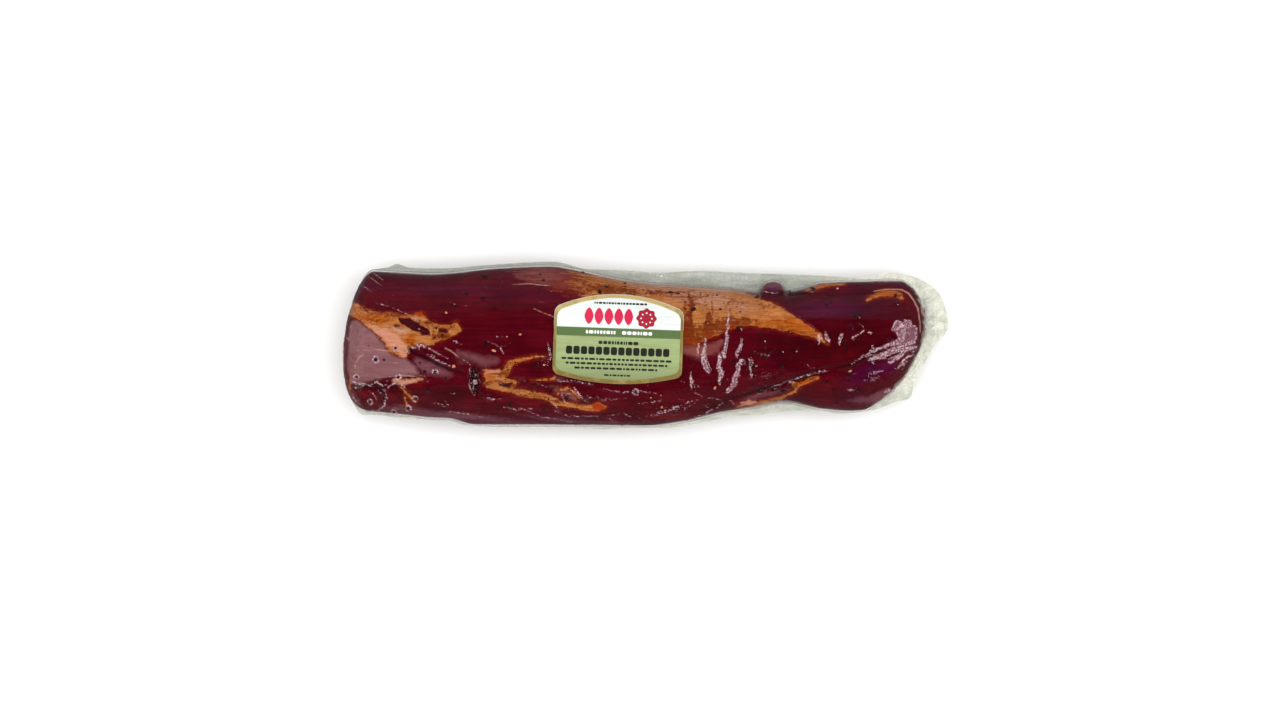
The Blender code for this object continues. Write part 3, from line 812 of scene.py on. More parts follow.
    scorched: Stations = (
        (-135, 20.5, 3, 1.1, 0.9), (-128, 17.2, 5, 1.1, 0.9), (-119, 14.8, 5, 1.2, 0.9),
        (-111, 14.2, 4, 1.2, 0.8), (-104, 14.2, 3, 1.2, 0.7), (-99.5, 11, 2, 2, 0.8),
        (-114, 9, 2.5, 1.4, 0.8), (-104, 10.5, 4, 1.6, 0.7), (-96, 8.4, 4, 1.4, 0.7), (-89, 9, 2, 1.2, 0.8),
        (-95, 4.4, 5, 1.8, 1.1), (-108.5, 0.5, 2, 2, 0.7), (-124, 11.5, 5, 1.2, 0.5), (18, 10, 2.4, 9, 0.8),
        (22, 21, 6, 3, 0.6), (8, 24.4, 9, 1.4, 0.8), (28.4, 9, 1.6, 7, 0.75), (20, 2, 5, 2, 0.9),
        (31, 24, 9, 1.4, 0.5), (38, 15, 3, 5, 0.4), (42, 21, 6, 3, 0.4), (56, 18, 10, 1.6, 0.5),
        (70, 7, 10, 0.9, 0.25), (-22, 26.5, 6, 2, 0.6), (-70, -12.4, 4, 1.2, 0.8),
        (-72.5, -17.6, 2.5, 1.2, 0.9), (-61, -18.4, 5, 1.6, 0.9), (-54, -23, 7, 0.9, 0.7),
        (-41, -26, 4, 1.1, 0.8), (-31, -28, 6, 0.9, 0.6), (-57, -6.6, 5, 0.7, 0.6), (76, -15.6, 3, 0.8, 0.8),
        (69, -18.8, 2, 1.6, 1), (60, -25.4, 6, 0.7, 0.7), (50, -27, 5, 0.7, 0.6), (104, 22.4, 2, 1.4, 0.9),
        (117, 23, 2, 1.5, 0.9), (110, 25.4, 6, 0.6, 0.7), (78, 26, 3, 1.2, 0.8), (-109, -24, 2, 4, 0.6),
        (-133.5, -14, 1.6, 3, 0.6), (24, 5, 7, 4.6, 0.9), (35, 9, 8, 3.4, 1.1), (46, 11.2, 8, 2.4, 0.8),
        (-34, 30, 12, 5, 0.6), (-12, 25.6, 12, 3, 0.9), (20.6, 12, 1, 10, 1), (28.4, 9, 1, 7, 1),
        (-128, 15.6, 4, 1.4, 0.5), (-116, 13, 4, 1, 0.6), (-92, 6, 2.4, 1.6, 0.5), (12, 3, 5, 2, 0.5),
        (-66, -13.4, 3, 1.6, 0.7), (-64, -10, 2, 2, 0.7), (-48, -24, 3, 1, 0.6),
    )
    pale_fat: Stations = (
        (12, 27.5, 26, 3.4, 1), (30, 21, 16, 5, 0.6), (46, 17, 14, 4, 0.45), (-119, 9.5, 3, 2.4, 0.6),
        (-112, 6.8, 4, 1.2, 0.7), (-131, 15, 3, 1.2, 0.5), (-66, -15, 4, 1.2, 0.5), (-47, -24, 8, 0.7, 0.4),
        (73, 6.6, 6, 2, 0.3), (-113, 7.2, 3, 1, 0.8), (-107, 12.6, 4, 0.8, 0.8), (-100, 8.6, 3, 0.8, 0.7),
        (22, 22.5, 12, 3, 0.7),
    )
    translucent: Stations = (
        (-37.5, -21.6, 4, 2.2, 1.1), (-43, -19, 4, 1.6, 0.6), (-41, -15, 4, 1.4, 0.9),
        (-58, -15.4, 4, 1.6, 0.6), (-28, -25, 4, 1.6, 0.5), (22, -2, 8, 2.2, 0.7),
        (-103, -16.6, 4, 1.2, 0.5), (107, -25, 5, 2.6, 0.9), (-84, -7, 5, 2.4, 0.6),
    )
    speckled: Stations = (
        (-79, -16, 2.2, 6, 1.7), (-131, -18.8, 6, 1.5, 1.1), (-122.5, -22, 2, 5, 0.9),
        (-118, -18.5, 5, 1.6, 0.7), (-64, -18, 4.5, 1.6, 1), (-57, -16.5, 3, 2.2, 0.8),
        (-47, -8.5, 4, 3.5, 0.7), (-37, -22, 4, 3, 1.1), (-30, -25, 4, 2, 0.9), (-22, -24, 6, 2, 0.7),
        (-10, -30, 8, 2, 0.6), (8, -30, 6, 3, 0.8), (-106, -1.5, 3.5, 2, 0.8), (-94, -27.5, 4, 1.6, 0.9),
        (-96.5, -12, 3, 1.5, 0.6), (68, -17, 3, 1.6, 0.9), (50, -21.5, 7, 2.4, 0.7), (47, -9, 2, 5, 0.6),
        (55, -15, 2.5, 4, 0.6), (64, 25.6, 5, 1, 0.7), (76, 25.8, 3, 1.3, 0.8), (95, -21, 5, 3, 0.7),
        (-125, 24, 6, 5, 0.25), (-134, -22, 3, 5, 0.6), (-73, -24.5, 4, 1.2, 0.8), (14, -29, 4, 2.4, 1),
        (-55, -22, 6, 1.2, 0.8), (-46, -25, 4, 1.4, 0.8), (-36, -27.4, 6, 1.2, 0.6), (-61, -9, 4, 1.2, 0.6),
        (-102, 10, 8, 3, 0.35), (22, -20, 2, 3, 0.8), (-70, -30, 8, 1.5, 0.5), (104, -15, 6, 3, 0.4),
        (-109, -15, 6, 1.2, 0.5),
    )

    deepest_kept: float = 5.0
    waver_along: tuple[Noise, ...] = (Noise(5, 3.4, 2.6, 2, 0.8), Noise(15, 1.3, 1.1, 1, 0.35))
    waver_across: tuple[Noise, ...] = (Noise(9, 3.8, 2.2, 2, 0.6), Noise(19, 1.5, 1.0, 1, 0.3))
    fine_waver: float = 0.4
    stroke_waver: float = 0.5
    cap_thins: float = 0.1
    cap_frays: Noise = Noise(41, 10, 1.1, 3, 1.7)
    thin_fat_thins: float = 0.07
    thin_fat_frays: Noise = Noise(43, 12, 1.2, 4, 2.4)
    island_edge: float = 1.2
    specks: Noise = Noise(23, 0.9, 0.8)
    speck_share: float = 0.9
    speck_limit: float = 1.12
    fat_rise: tuple[float, ...] = (-0.4, 1.4, 0.45)
    thin_fat_rise: tuple[float, ...] = (-0.5, 1.5, 0.12)
    seam_sinks: tuple[float, ...] = (-0.9, 0.5, 0.55)
    fibre_waves: Noise = Noise(31, 16, 1.5, 2, 0.09)

    def values(self, x: Floats, y: Floats, skin: tuple[Floats, Floats]) -> dict[str, Floats]:
        """Reads every mark over the plan, its edges drawn ragged by shifting the plan with soft noise.

        Args:
            x: plan position along the meat.
            y: plan position across it, carried on past the sides for the underside.
            skin: the same places on the skin laid flat.

        Returns:
            One array for each attribute: depths in mm, below zero outside, and strengths.
        """
        shift_x, shift_y = (
            sum(noise.at(*skin) for noise in waver) for waver in (self.waver_along, self.waver_across)
        )
        u, v = x + shift_x, y + shift_y
        thinning = (u - self.cap_fades) * self.cap_thins + self.cap_frays.at(*skin)
        cap = np.minimum(outline_depth(u, v, self.cap), thinning)
        strokes = deepest(x + shift_x * self.stroke_waver, y + shift_y * self.stroke_waver, self.fat_strokes)
        fat = np.max([outline_depth(u, v, self.left_fat), cap, strokes], axis=0)
        islands = deepest(u, v, self.islands)
        thinning = (u - self.thin_fat_fades) * self.thin_fat_thins + self.thin_fat_frays.at(*skin)
        thin = np.minimum(outline_depth(u, v, self.thin_fat), thinning)
        fine = x + shift_x * self.fine_waver, y + shift_y * self.fine_waver
        marks = {
            "fat": np.minimum(fat, -islands * self.island_edge),
            "thin_fat": np.maximum(thin, deepest(u, v, self.veiled_fat)),
            "peach": deepest(u, v, self.peach),
            "island": islands,
            "silverskin": outline_depth(u, v, self.silverskin),
            "veiled_skin": deepest(u, v, self.veiled_skin),
            "vein": deepest(*fine, self.veins_and_highlight_lines),
            "vessel": deepest(*fine, self.vessels),
            "dark_seam": deepest(*fine, self.dark_seams),
        }
        marks = {name: np.clip(depth, -self.deepest_kept, self.deepest_kept) for name, depth in marks.items()}
        for name in ("orange", "deep", "ruddy", "bruise", "scorched", "pale_fat", "translucent"):
            marks[name] = blobs(u, v, getattr(self, name))
        speckled = blobs(x, y, self.speckled) * self.speck_share
        return {**marks, "speck": self.specks.at(*skin) + speckled - self.speck_limit}

    def rise(self, x: Floats, y: Floats, skin: tuple[Floats, Floats]) -> Floats:
        """Low relief of the marks: fat stands up behind an eased edge, and dark seams sink.

        Args:
            x: plan position along the meat.
            y: plan position across it.
            skin: the same places on the skin laid flat.

        Returns:
            The rise, in mm.
        """
        marks = self.values(x, y, skin)
        fat, thin_fat, seam = (
            ease(marks[name], low, high) * height
            for name, (low, high, height) in (
                ("fat", self.fat_rise), ("thin_fat", self.thin_fat_rise), ("dark_seam", self.seam_sinks),
            )
        )
        return fat + thin_fat - seam + self.fibre_waves.at(*skin)


@dataclass(frozen=True)
class Coat:
    """One painted layer of the meat: where it lies, how its edge fades, and its two tones.

    A share of 0 means that the layer lies on fat alone, as strongly as the fat does.
    """

    attribute: str
    starts: float
    full: float
    ragged: float
    share: float
    tone: str
    other_tone: str


@dataclass(frozen=True)
class SmokedPork:
    """Cured and cold-smoked pork muscle: dark wet red with long fibres, tan smoked fat and pale membrane.

    Curing gives the deep maroon, smoke the tan to orange fat, and the wet film keeps it from looking dry.
    Each range holds the least and the most of what is read, and then what these become.
    """

    lean: tuple[tuple[float, str], ...] = ((0.44, "#38000b"), (0.8, "#4a010e"), (1.0, "#570515"))
    fibre_mm: Pair = (26.0, 1.8)
    cloud_mm: float = 13.333
    cloud_weight: float = 0.7
    grit_mm: float = 1.5385
    streak_turn: float = 0.42
    streak_mm: Pair = (9.0, 0.8)
    crack: str = "#6a2a10"
    crack_turn: float = 0.5
    crack_mm: Pair = (5.0, 2.4)
    crack_line: tuple[float, ...] = (0.0, 0.09, 1.0, 0.0)
    cracked: tuple[float, ...] = (0.42, 0.62, 0.0, 0.7)
    wander_mm: float = 2.381
    wander_by_mm: float = 3.5
    plain: Pair = (0.65, 1.1)
    streaky: Pair = (0.36, 0.64)
    streaked: tuple[str, ...] = ("fat", "orange", "pale_fat", "scorched", "peach")
    relief_mm: float = 0.5
    fibre_relief: float = 0.4
    roughness: float = 0.5
    own_shine: float = 0.03
    coats: tuple[Coat, ...] = (
        Coat("deep", 0.1, 1.2, 0.15, 0.7, "#2e0005", "#3e0109"),
        Coat("ruddy", 0.1, 1.3, 0.45, 0.7, "#7a0a0c", "#5f0a06"),
        Coat("bruise", 0.15, 1.2, 0.35, 0.7, "#3f0430", "#56103e"),
        Coat("translucent", 0.15, 1.0, 0.5, 0.6, "#6e4a34", "#5a3040"),
        # Veiled membrane, and along the lower and left edges a painted reflection.
        Coat("veiled_skin", -1.6, 2.0, 1.3, 0.62, "#8b5a62", "#70404b"),
        Coat("thin_fat", -0.9, 1.6, 1.0, 0.85, "#8e5144", "#73383c"),
        Coat("fat", -1.9, 0.1, 1.3, 0.85, "#85250b", "#4e1007"),
        Coat("fat", -0.3, 0.35, 1.2, 1.0, "#bf8049", "#9a5626"),
        Coat("orange", 0.25, 1.0, 0.6, 0.0, "#bd651c", "#8c400c"),
        Coat("pale_fat", 0.2, 0.9, 0.8, 0.0, "#bd8e72", "#a36f4c"),
        Coat("scorched", 0.3, 0.9, 1.3, 0.0, "#8a4317", "#5e240b"),
        Coat("ruddy", 0.5, 1.1, 0.6, 0.0, "#a8370e", "#8a2c0c"),
        Coat("peach", -0.8, 0.8, 0.8, 0.9, "#cd947e", "#c28262"),
        Coat("island", -0.2, 0.5, 0.4, 0.95, "#33060f", "#4a1018"),
        Coat("silverskin", -0.5, 1.2, 0.6, 0.92, "#906668", "#785055"),
        # Pale veins, partly painted highlight lines along seam edges and film creases.
        Coat("vein", -0.25, 0.2, 0.25, 0.8, "#c3998a", "#ad7b6a"),
        Coat("vessel", -0.6, 0.3, 0.7, 0.8, "#6e2410", "#84381c"),
        Coat("dark_seam", -0.5, 0.5, 0.9, 0.78, "#210408", "#2f070e"),
        Coat("speck", 0.0, 0.14, 0.2, 0.9, "#0e0607", "#1c0b08"),
    )

    def crackled(self, add: Add, place: Socket, cloud: Socket, fat_share: Socket, colour: Socket) -> Socket:
        """Draws the fine brown cracks of smoked fat: the edges between warped cells, here and there.

        Args:
            add: add_node for the material's tree.
            place: Object coordinates.
            cloud: slow noise that says where cracks are.
            fat_share: how much of the surface is fat.
            colour: the colour so far.

        Returns:
            The colour with its cracks.
        """
        wander = add("TexNoise", {}, {"Vector": place, "Scale": scale_of(self.wander_mm), "Detail": 2.0}, 1)
        wander = add("VectorMath", LESS, (wander, (0.5, 0.5, 0.5)))
        moved = add("VectorMath", TIMES_PLUS, (wander, (self.wander_by_mm * MM,) * 3, place))
        cells = {"Vector": moved, "Rotation": (0, 0, self.crack_turn), "Scale": stretched(*self.crack_mm)}
        cells = {"Vector": add("Mapping", {}, cells), "Scale": 1.0}
        gap = add("TexVoronoi", {"feature": "DISTANCE_TO_EDGE"}, cells)
        share = add("MapRange", {}, (gap, *self.crack_line))
        for factor in (add("MapRange", {}, (cloud, *self.cracked)), fat_share):
            share = add("Math", TIMES, (share, factor))
        return add("Mix", COLOURS, {0: share, 6: colour, 7: linear(self.crack)}, 2)

    def build(self) -> bpy.types.Material:
        """Builds the finish: streaked lean meat, then each coat over it where its attribute says.

        Returns:
            The material.
        """
        material, add, place = new_material("smoked_pork")
        along = add("Mapping", {}, {"Vector": place, "Scale": stretched(*self.fibre_mm)})
        fibre = add("TexNoise", {}, {"Vector": along, "Scale": 1.0, "Detail": 5.0, "Roughness": 0.62})
        cloud = add("TexNoise", {}, {"Vector": place, "Scale": scale_of(self.cloud_mm), "Detail": 3.0})
        grit = {"Vector": place, "Scale": scale_of(self.grit_mm), "Detail": 4.0, "Roughness": 0.62}
        grit = add("TexNoise", {}, grit)
        turned = {"Vector": place, "Rotation": (0, 0, self.streak_turn), "Scale": stretched(*self.streak_mm)}
        turned = add("Mapping", {}, turned)
        streak = add("TexNoise", {}, {"Vector": turned, "Scale": 1.0, "Detail": 4.0, "Roughness": 0.65})
        mixed = add("Math", TIMES_PLUS, (cloud, self.cloud_weight, fibre))
        stops = [(position, linear(tone)) for position, tone in self.lean]
        colour = add("ValToRGB", {"stops": stops}, {"Fac": mixed})
        wander = add("Math", LESS, (grit, 0.5))
        plain = add("MapRange", {}, (mixed, *self.plain))
        streaky = add("MapRange", {}, (streak, *self.streaky))
        fat_share = None
        for coat in self.coats:
            depth = add("Attribute", {"attribute_name": coat.attribute}, {}, "Fac")
            edge = add("Math", TIMES_PLUS, (wander, coat.ragged * 2, depth))
            share = add("MapRange", EASED, (edge, coat.starts, coat.full, 0.0, coat.share or 1.0))
            if coat.attribute == "fat":
                fat_share = share
            if coat.share == 0:
                share = add("Math", TIMES, (share, fat_share))
            spread = streaky if coat.attribute in self.streaked else plain
            tone = add("Mix", COLOURS, {0: spread, 6: linear(coat.tone), 7: linear(coat.other_tone)}, 2)
            colour = add("Mix", COLOURS, {0: share, 6: colour, 7: tone}, 2)
            if coat.attribute == "pale_fat":
                colour = self.crackled(add, place, cloud, fat_share, colour)
        rough = add("Math", TIMES_PLUS, (mixed, self.fibre_relief, grit))
        bump = add("Bump", {}, {"Strength": 0.5, "Distance": self.relief_mm * MM, "Height": rough})
        body = {"Base Color": colour, "Roughness": self.roughness, "IOR": 1.4, "Normal": bump}
        body["Specular IOR Level"] = self.own_shine
        add("OutputMaterial", {}, {"Surface": add("BsdfPrincipled", {}, body)})
        return material


@dataclass(frozen=True)
class VacuumFilm:
    """Clear co-extruded nylon and polyethylene pouch film, shrunk on by the vacuum.

    It is nearly colourless with a hard gloss. Where it lifts off the wet meat the air behind turns it milky,
    and these pale places are also painted highlights: folds, glints, fine creases and rings round corns.
    Where the two webs lie together in the rim it looks grey, in part painted shade along the far rim and
    painted reflections of dark surroundings in the tab's creases. A painted reflection of the studio lies as
    a thin bluish sheen over parts of the meat.
    Each range holds the least and the most of what is read, and then what these become.
    """

    gloss: float = 0.047
    gloss_power: float = 5.0
    roughness: float = 0.1
    tint: str = "#fdfafa"
    web_tint: str = "#f1f1e5"
    grey_and_shade_tint: str = "#bac1b7"
    # Pale colours of the film standing off the meat, which are painted highlights too; the second is their
    # bright core.
    lifted_film_highlight: str = "#b67f8e"
    highlight_core: str = "#e0c6cc"
    web_veil: str = "#eff0e2"
    # Colour and share of the painted reflection of the studio, a thin bluish sheen.
    reflection_mist: str = "#9aa6c6"
    reflection_mist_share: float = 0.028
    crease_mm: float = 0.9
    crease_deep_mm: float = 0.9
    drawn_mm: Pair = (16.667, 2.381)
    loose_mm: float = 5.8824
    ragged: float = 0.8
    lifted_highlight: tuple[float, ...] = (-0.2, 0.4)
    patchy: tuple[float, ...] = (0.36, 0.6, 0.36, 0.62)
    broad_fold: tuple[float, ...] = (0.5, 1.5)
    calmed: tuple[float, ...] = (0.0, 1.0, 1.0, 0.64)
    milky: tuple[float, ...] = (0.3, 0.75, 0.34, 0.54)
    clearer: tuple[float, ...] = (0.0, 1.0, 1.0, 0.6)
    bright: tuple[float, ...] = (0.44, 0.62)

    def build(self) -> bpy.types.Material:
        """Builds the finish: clear, glossier by the fifth power turning away, milky where it stands off the
        meat or is doubled, with painted highlights, painted shade in the rim's grey, and a painted reflection
        as a bluish sheen.

        The gloss is the same from both sides, because a thin film has two faces.

        Returns:
            The material.
        """
        material, add, place = new_material("vacuum_pouch_film")
        names = ("dry", "crinkle", "web", "cloud", "haze")
        reads = (add("Attribute", {"attribute_name": name}, {}, "Fac") for name in names)
        dry, crinkle, web, cloud, haze = reads
        fine = {"Vector": place, "Scale": scale_of(self.crease_mm), "Detail": 2.0, "Roughness": 0.55}
        fine = add("TexNoise", {}, fine)
        drawn = add("Mapping", {}, {"Vector": place, "Scale": stretched(*self.drawn_mm)})
        drawn = {"Vector": drawn, "Scale": 1.0, "Detail": 4.0, "Roughness": 0.6, "Distortion": 0.4}
        loose = {"Vector": place, "Scale": scale_of(self.loose_mm), "Detail": 5.0, "Roughness": 0.62}
        loose["Distortion"] = 1.2
        broad = add("Mix", {}, {0: cloud, 2: add("TexNoise", {}, loose), 3: add("TexNoise", {}, drawn)})
        creased = add("Math", TIMES, (crinkle, fine))
        bump = add("Bump", {}, {"Strength": 1.0, "Distance": self.crease_deep_mm * MM, "Height": creased})
        # The rim's doubled film is tinted, and greyer where cloud is: in part painted shade and painted
        # reflection.
        clear = linear(self.tint)
        for share, tint in ((web, self.web_tint), (cloud, self.grey_and_shade_tint)):
            clear = add("Mix", COLOURS, {0: share, 6: clear, 7: linear(tint)}, 2)
        through = add("BsdfTransparent", {}, {"Color": clear})
        gloss = {"Color": linear(WHITE), "Roughness": self.roughness, "Normal": bump}
        gloss = add("BsdfAnisotropic", {}, gloss)
        facing = add("LayerWeight", {}, {"Blend": 0.5, "Normal": bump}, "Facing")
        steep = add("Math", {"operation": "POWER"}, (facing, self.gloss_power))
        share = add("MapRange", {}, {0: steep, 3: self.gloss})
        skin = add("MixShader", {}, (share, through, gloss))
        # Painted highlights over film standing off the meat: where the attribute is deep, with a ragged edge.
        edge = add("Math", TIMES_PLUS, (add("Math", LESS, (fine, 0.5)), self.ragged, dry))
        lifted_highlight = add("MapRange", EASED, (edge, *self.lifted_highlight))
        broad_fold = add("MapRange", {}, (dry, *self.broad_fold))
        calmed = add("MapRange", {}, (broad_fold, *self.calmed))
        for factor in (add("MapRange", EASED, (fine, *self.patchy)), calmed):
            lifted_highlight = add("Math", TIMES, (lifted_highlight, factor))
        milky = add("MapRange", EASED, (broad, *self.milky))
        for factor in (add("MapRange", {}, (cloud, *self.clearer)), web):
            milky = add("Math", TIMES, (milky, factor))
        share = add("Math", {"operation": "MAXIMUM"}, (lifted_highlight, milky))
        # Painted highlights: a brighter core in the folds and glints, and white on the rim.
        bright = add("MapRange", {}, (fine, *self.bright))
        bright = add("Math", {**LESS, "use_clamp": True}, (bright, broad_fold))
        pale = add("Mix", COLOURS, {0: web, 6: linear(self.lifted_film_highlight), 7: linear(self.web_veil)}, 2)
        shine = add("Mix", COLOURS, {0: web, 6: linear(self.highlight_core), 7: linear(WHITE)}, 2)
        tone = add("Mix", COLOURS, {0: bright, 6: pale, 7: shine}, 2)
        whole = add("MixShader", {}, (share, skin, add("BsdfDiffuse", {}, {"Color": tone})))
        # Painted reflection: a bluish sheen laid over the film where the attribute says.
        reflecting_mist = add("BsdfDiffuse", {}, {"Color": linear(self.reflection_mist)})
        whole = add("MixShader", {}, (add("Math", TIMES, (haze, self.reflection_mist_share)), whole, reflecting_mist))
        add("OutputMaterial", {}, {"Surface": whole})
        return material


@dataclass(frozen=True)
class Speckled:
    """A small dry thing in two tones, such as a cracked peppercorn: rough, mottled, of uneven radius."""

    name: str
    tone: str
    other_tone: str
    roughness: float
    uneven: float
    mottle_mm: float = 0.5
    spread: Pair = (0.4, 0.62)
    dent_mm: float = 0.2

    def build(self) -> bpy.types.Material:
        """Builds the finish: two tones by a fine noise, with a matching dent.

        Returns:
            The material.
        """
        material, add, place = new_material(self.name)
        mottle = add("TexNoise", {}, {"Vector": place, "Scale": scale_of(self.mottle_mm), "Detail": 2.0})
        share = add("MapRange", {}, (mottle, *self.spread))
        colour = add("Mix", COLOURS, {0: share, 6: linear(self.tone), 7: linear(self.other_tone)}, 2)
        bump = add("Bump", {}, {"Strength": 0.4, "Distance": self.dent_mm * MM, "Height": mottle})
        body = {"Base Color": colour, "Roughness": self.roughness, "Normal": bump}
        add("OutputMaterial", {}, {"Surface": add("BsdfPrincipled", {}, body)})
        return material


@dataclass(frozen=True)
class LabelPaper:
    """Semi-gloss coated label paper, printed in flat fields: white, a dark green band and light green.

    The coating gives a soft sheen, and faint slanting streaks of the plate show in each field.
    """

    white: str = "#e6eae6"
    white_shade: str = "#d3dad6"
    band: str = "#536a3a"
    field: str = "#99a973"
    field_shade: str = "#8a9865"
    field_low: str = "#788257"
    band_from: float = 2.2
    band_to: float = 6.25
    print_edge: float = 0.12
    darkens: tuple[float, ...] = (-8.0, -18.0, 0.0, 0.8)
    streak_turn: float = 0.35
    streak_mm: Pair = (11.111, 1.1111)
    streaky: Pair = (0.35, 0.75)
    grain_mm: float = 0.38462
    grain_deep_mm: float = 0.1
    roughness: float = 0.42

    def build(self) -> bpy.types.Material:
        """Builds the finish: three fields by the height on the label, each a little uneven.

        Returns:
            The material.
        """
        material, add, place = new_material("coated_label_paper")
        height = add("Attribute", {"attribute_name": "label_y"}, {}, "Fac")
        turned = {"Vector": place, "Rotation": (0, 0, self.streak_turn), "Scale": stretched(*self.streak_mm)}
        streak = {"Vector": add("Mapping", {}, turned), "Scale": 1.0, "Detail": 3.0}
        streaky = add("MapRange", {}, (add("TexNoise", {}, streak), *self.streaky))
        colour, white = (
            add("Mix", COLOURS, {0: streaky, 6: linear(tone), 7: linear(shade)}, 2)
            for tone, shade in ((self.field, self.field_shade), (self.white, self.white_shade))
        )
        lower = add("MapRange", {}, (height, *self.darkens))
        colour = add("Mix", COLOURS, {0: lower, 6: colour, 7: linear(self.field_low)}, 2)
        for start, tone in ((self.band_from, linear(self.band)), (self.band_to, white)):
            share = add("MapRange", {}, (height, start - self.print_edge, start + self.print_edge))
            colour = add("Mix", COLOURS, {0: share, 6: colour, 7: tone}, 2)
        grain = add("TexNoise", {}, {"Vector": place, "Scale": scale_of(self.grain_mm), "Detail": 2.0})
        bump = add("Bump", {}, {"Strength": 0.08, "Distance": self.grain_deep_mm * MM, "Height": grain})
        body = {"Base Color": colour, "Roughness": self.roughness, "IOR": 1.5, "Normal": bump}
        add("OutputMaterial", {}, {"Surface": add("BsdfPrincipled", {}, body)})
        return material


@dataclass(frozen=True)
class GoldFoil:
    """Hot-stamped gold foil: a thin metal skin on paper, olive to bright gold, painted brighter up the label
    as a highlight.
    """

    bright: str = "#f8dc96"
    dull: str = "#a3894c"
    metallic: float = 0.55
    roughness: float = 0.38
    cloud_mm: float = 6.25
    dent_mm: float = 0.2
    brightens: tuple[float, ...] = (9.0, 19.0, 0.0, 0.5)
    dulled: Pair = (0.1, 0.5)

    def build(self) -> bpy.types.Material:
        """Builds the finish: two golds by a soft noise, painted brighter up the label as a highlight,
        metallic with a soft dent.

        Returns:
            The material.
        """
        material, add, place = new_material("hot_stamped_gold_foil")
        cloud = add("TexNoise", {}, {"Vector": place, "Scale": scale_of(self.cloud_mm), "Detail": 3.0})
        # The upper part of the label is painted brighter gold: a painted highlight.
        height = add("Attribute", {"attribute_name": "label_y"}, {}, "Fac")
        height = add("MapRange", {}, (height, *self.brightens))
        share = add("MapRange", {}, (add("Math", LESS, (cloud, height)), *self.dulled))
        colour = add("Mix", COLOURS, {0: share, 6: linear(self.bright), 7: linear(self.dull)}, 2)
        bump = add("Bump", {}, {"Strength": 0.2, "Distance": self.dent_mm * MM, "Height": cloud})
        body = {"Base Color": colour, "Metallic": self.metallic, "Roughness": self.roughness, "Normal": bump}
        add("OutputMaterial", {}, {"Surface": add("BsdfPrincipled", {}, body)})
        return material


class Ink(Enum):
    """The label's flat printing inks, each with its name and colour."""

    CRIMSON = "#cf1048"
    WINE = "#a0082f"
    BLACK = "#15160f"
    WHITE = "#eef1ea"

    def build(self) -> bpy.types.Material:
        """Builds the ink: one colour, slightly uneven where the paper shows through, with its soft sheen.

        Returns:
            The material.
        """
        paper, thin, spread_mm = linear("#7d7d72"), (0.3, 0.8, 0.0, 0.08), 0.52632
        material, add, place = new_material(f"offset_ink_{self.name.lower()}")
        spread = add("TexNoise", {}, {"Vector": place, "Scale": scale_of(spread_mm), "Detail": 2.0})
        share = add("MapRange", {}, (spread, *thin))
        colour = add("Mix", COLOURS, {0: share, 6: linear(self.value), 7: paper}, 2)
        surface = add("BsdfPrincipled", {}, {"Base Color": colour, "Roughness": 0.4})
        add("OutputMaterial", {}, {"Surface": surface})
        return material


@dataclass(frozen=True)
class Tenderloin:
    """The smoked meat itself, one closed surface just inside the film."""

    shape: PackShape
    marks: MeatMarks
    step: float = 0.53
    corner_steps: int = 24
    top_columns: int = 146
    under_columns: int = 42
    under_film: float = 0.4
    sunk: float = 0.3
    off_table: float = 0.25
    inset_share: float = 0.994
    fading: tuple[str, ...] = ("fat", "thin_fat", "peach", "silverskin", "veiled_skin", "vein", "island")
    fades: Pair = (-4.0, 12.0)
    fades_by: float = 7.0
    fades_raggedly: Noise = Noise(47, 7, 5, 3, 6)

    def build(self) -> bpy.types.Object:
        """Builds the meat: rows along X, each a ring over the top and back under, closed by a small end face.

        The top is the pack's top less the film's gap, plus the marks' relief. The underside is the pack's.
        The marks are read on the underside as if the skin were rolled out flat past each side.

        Returns:
            The meat.
        """
        shape = self.shape
        x = shape.stations(shape.meat_end, self.step, self.corner_steps)
        top = shape.across(x, self.top_columns, shape.top_squareness)
        low = tuple(grid[:, -2:0:-1] for grid in shape.across(x, self.under_columns, shape.under_squareness))
        profile = shape.profile(*top, shape.top_squareness)
        top_skin, low_skin = shape.unrolled(*top), shape.unrolled(*low, upper=False)
        top_z = shape.top(*top) - self.under_film * profile
        top_z = top_z + (self.marks.rise(*top, top_skin) - self.sunk) * profile
        far, near = (side[:, None] for side in shape.meat_sides(x))
        middle = (far + near) / 2
        rolled = np.where(low[1] > middle, 2 * far - low[1], 2 * near - low[1])
        grid_x, grid_y = np.hstack([top[0], low[0]]), np.hstack([top[1], low[1]])
        grid_z = np.hstack([top_z, shape.under(*low) + self.off_table])
        points = np.stack([grid_x, middle + (grid_y - middle) * self.inset_share, grid_z], axis=-1)
        rows, columns = grid_x.shape
        ring = np.arange(columns)
        ends = [ring[::-1][None, :], ((rows - 1) * columns + ring)[None, :]]
        skin = tuple(np.hstack(pair) for pair in zip(top_skin, low_skin))
        marks = self.marks.values(grid_x, np.hstack([top[1], rolled]), skin)
        beneath = shape.widest(x)[:, None] - grid_z + self.fades_raggedly.at(*skin)
        for name in self.fading:
            marks[name] = marks[name] - self.fades_by * ease(beneath, *self.fades)
        faces = [grid_faces(rows, columns, closed=True), *ends]
        return mesh_object("tenderloin", points, faces, SmokedPork().build(), marks)


class Grain(Enum):
    """What the meat is sprinkled with, and the finish of each."""

    PEPPER = Speckled("cracked_black_pepper", "#080404", "#20120c", 0.75, 0.28)
    SEED = Speckled("pale_mustard_seed", "#d9a27c", "#c08156", 0.55, 0.06)


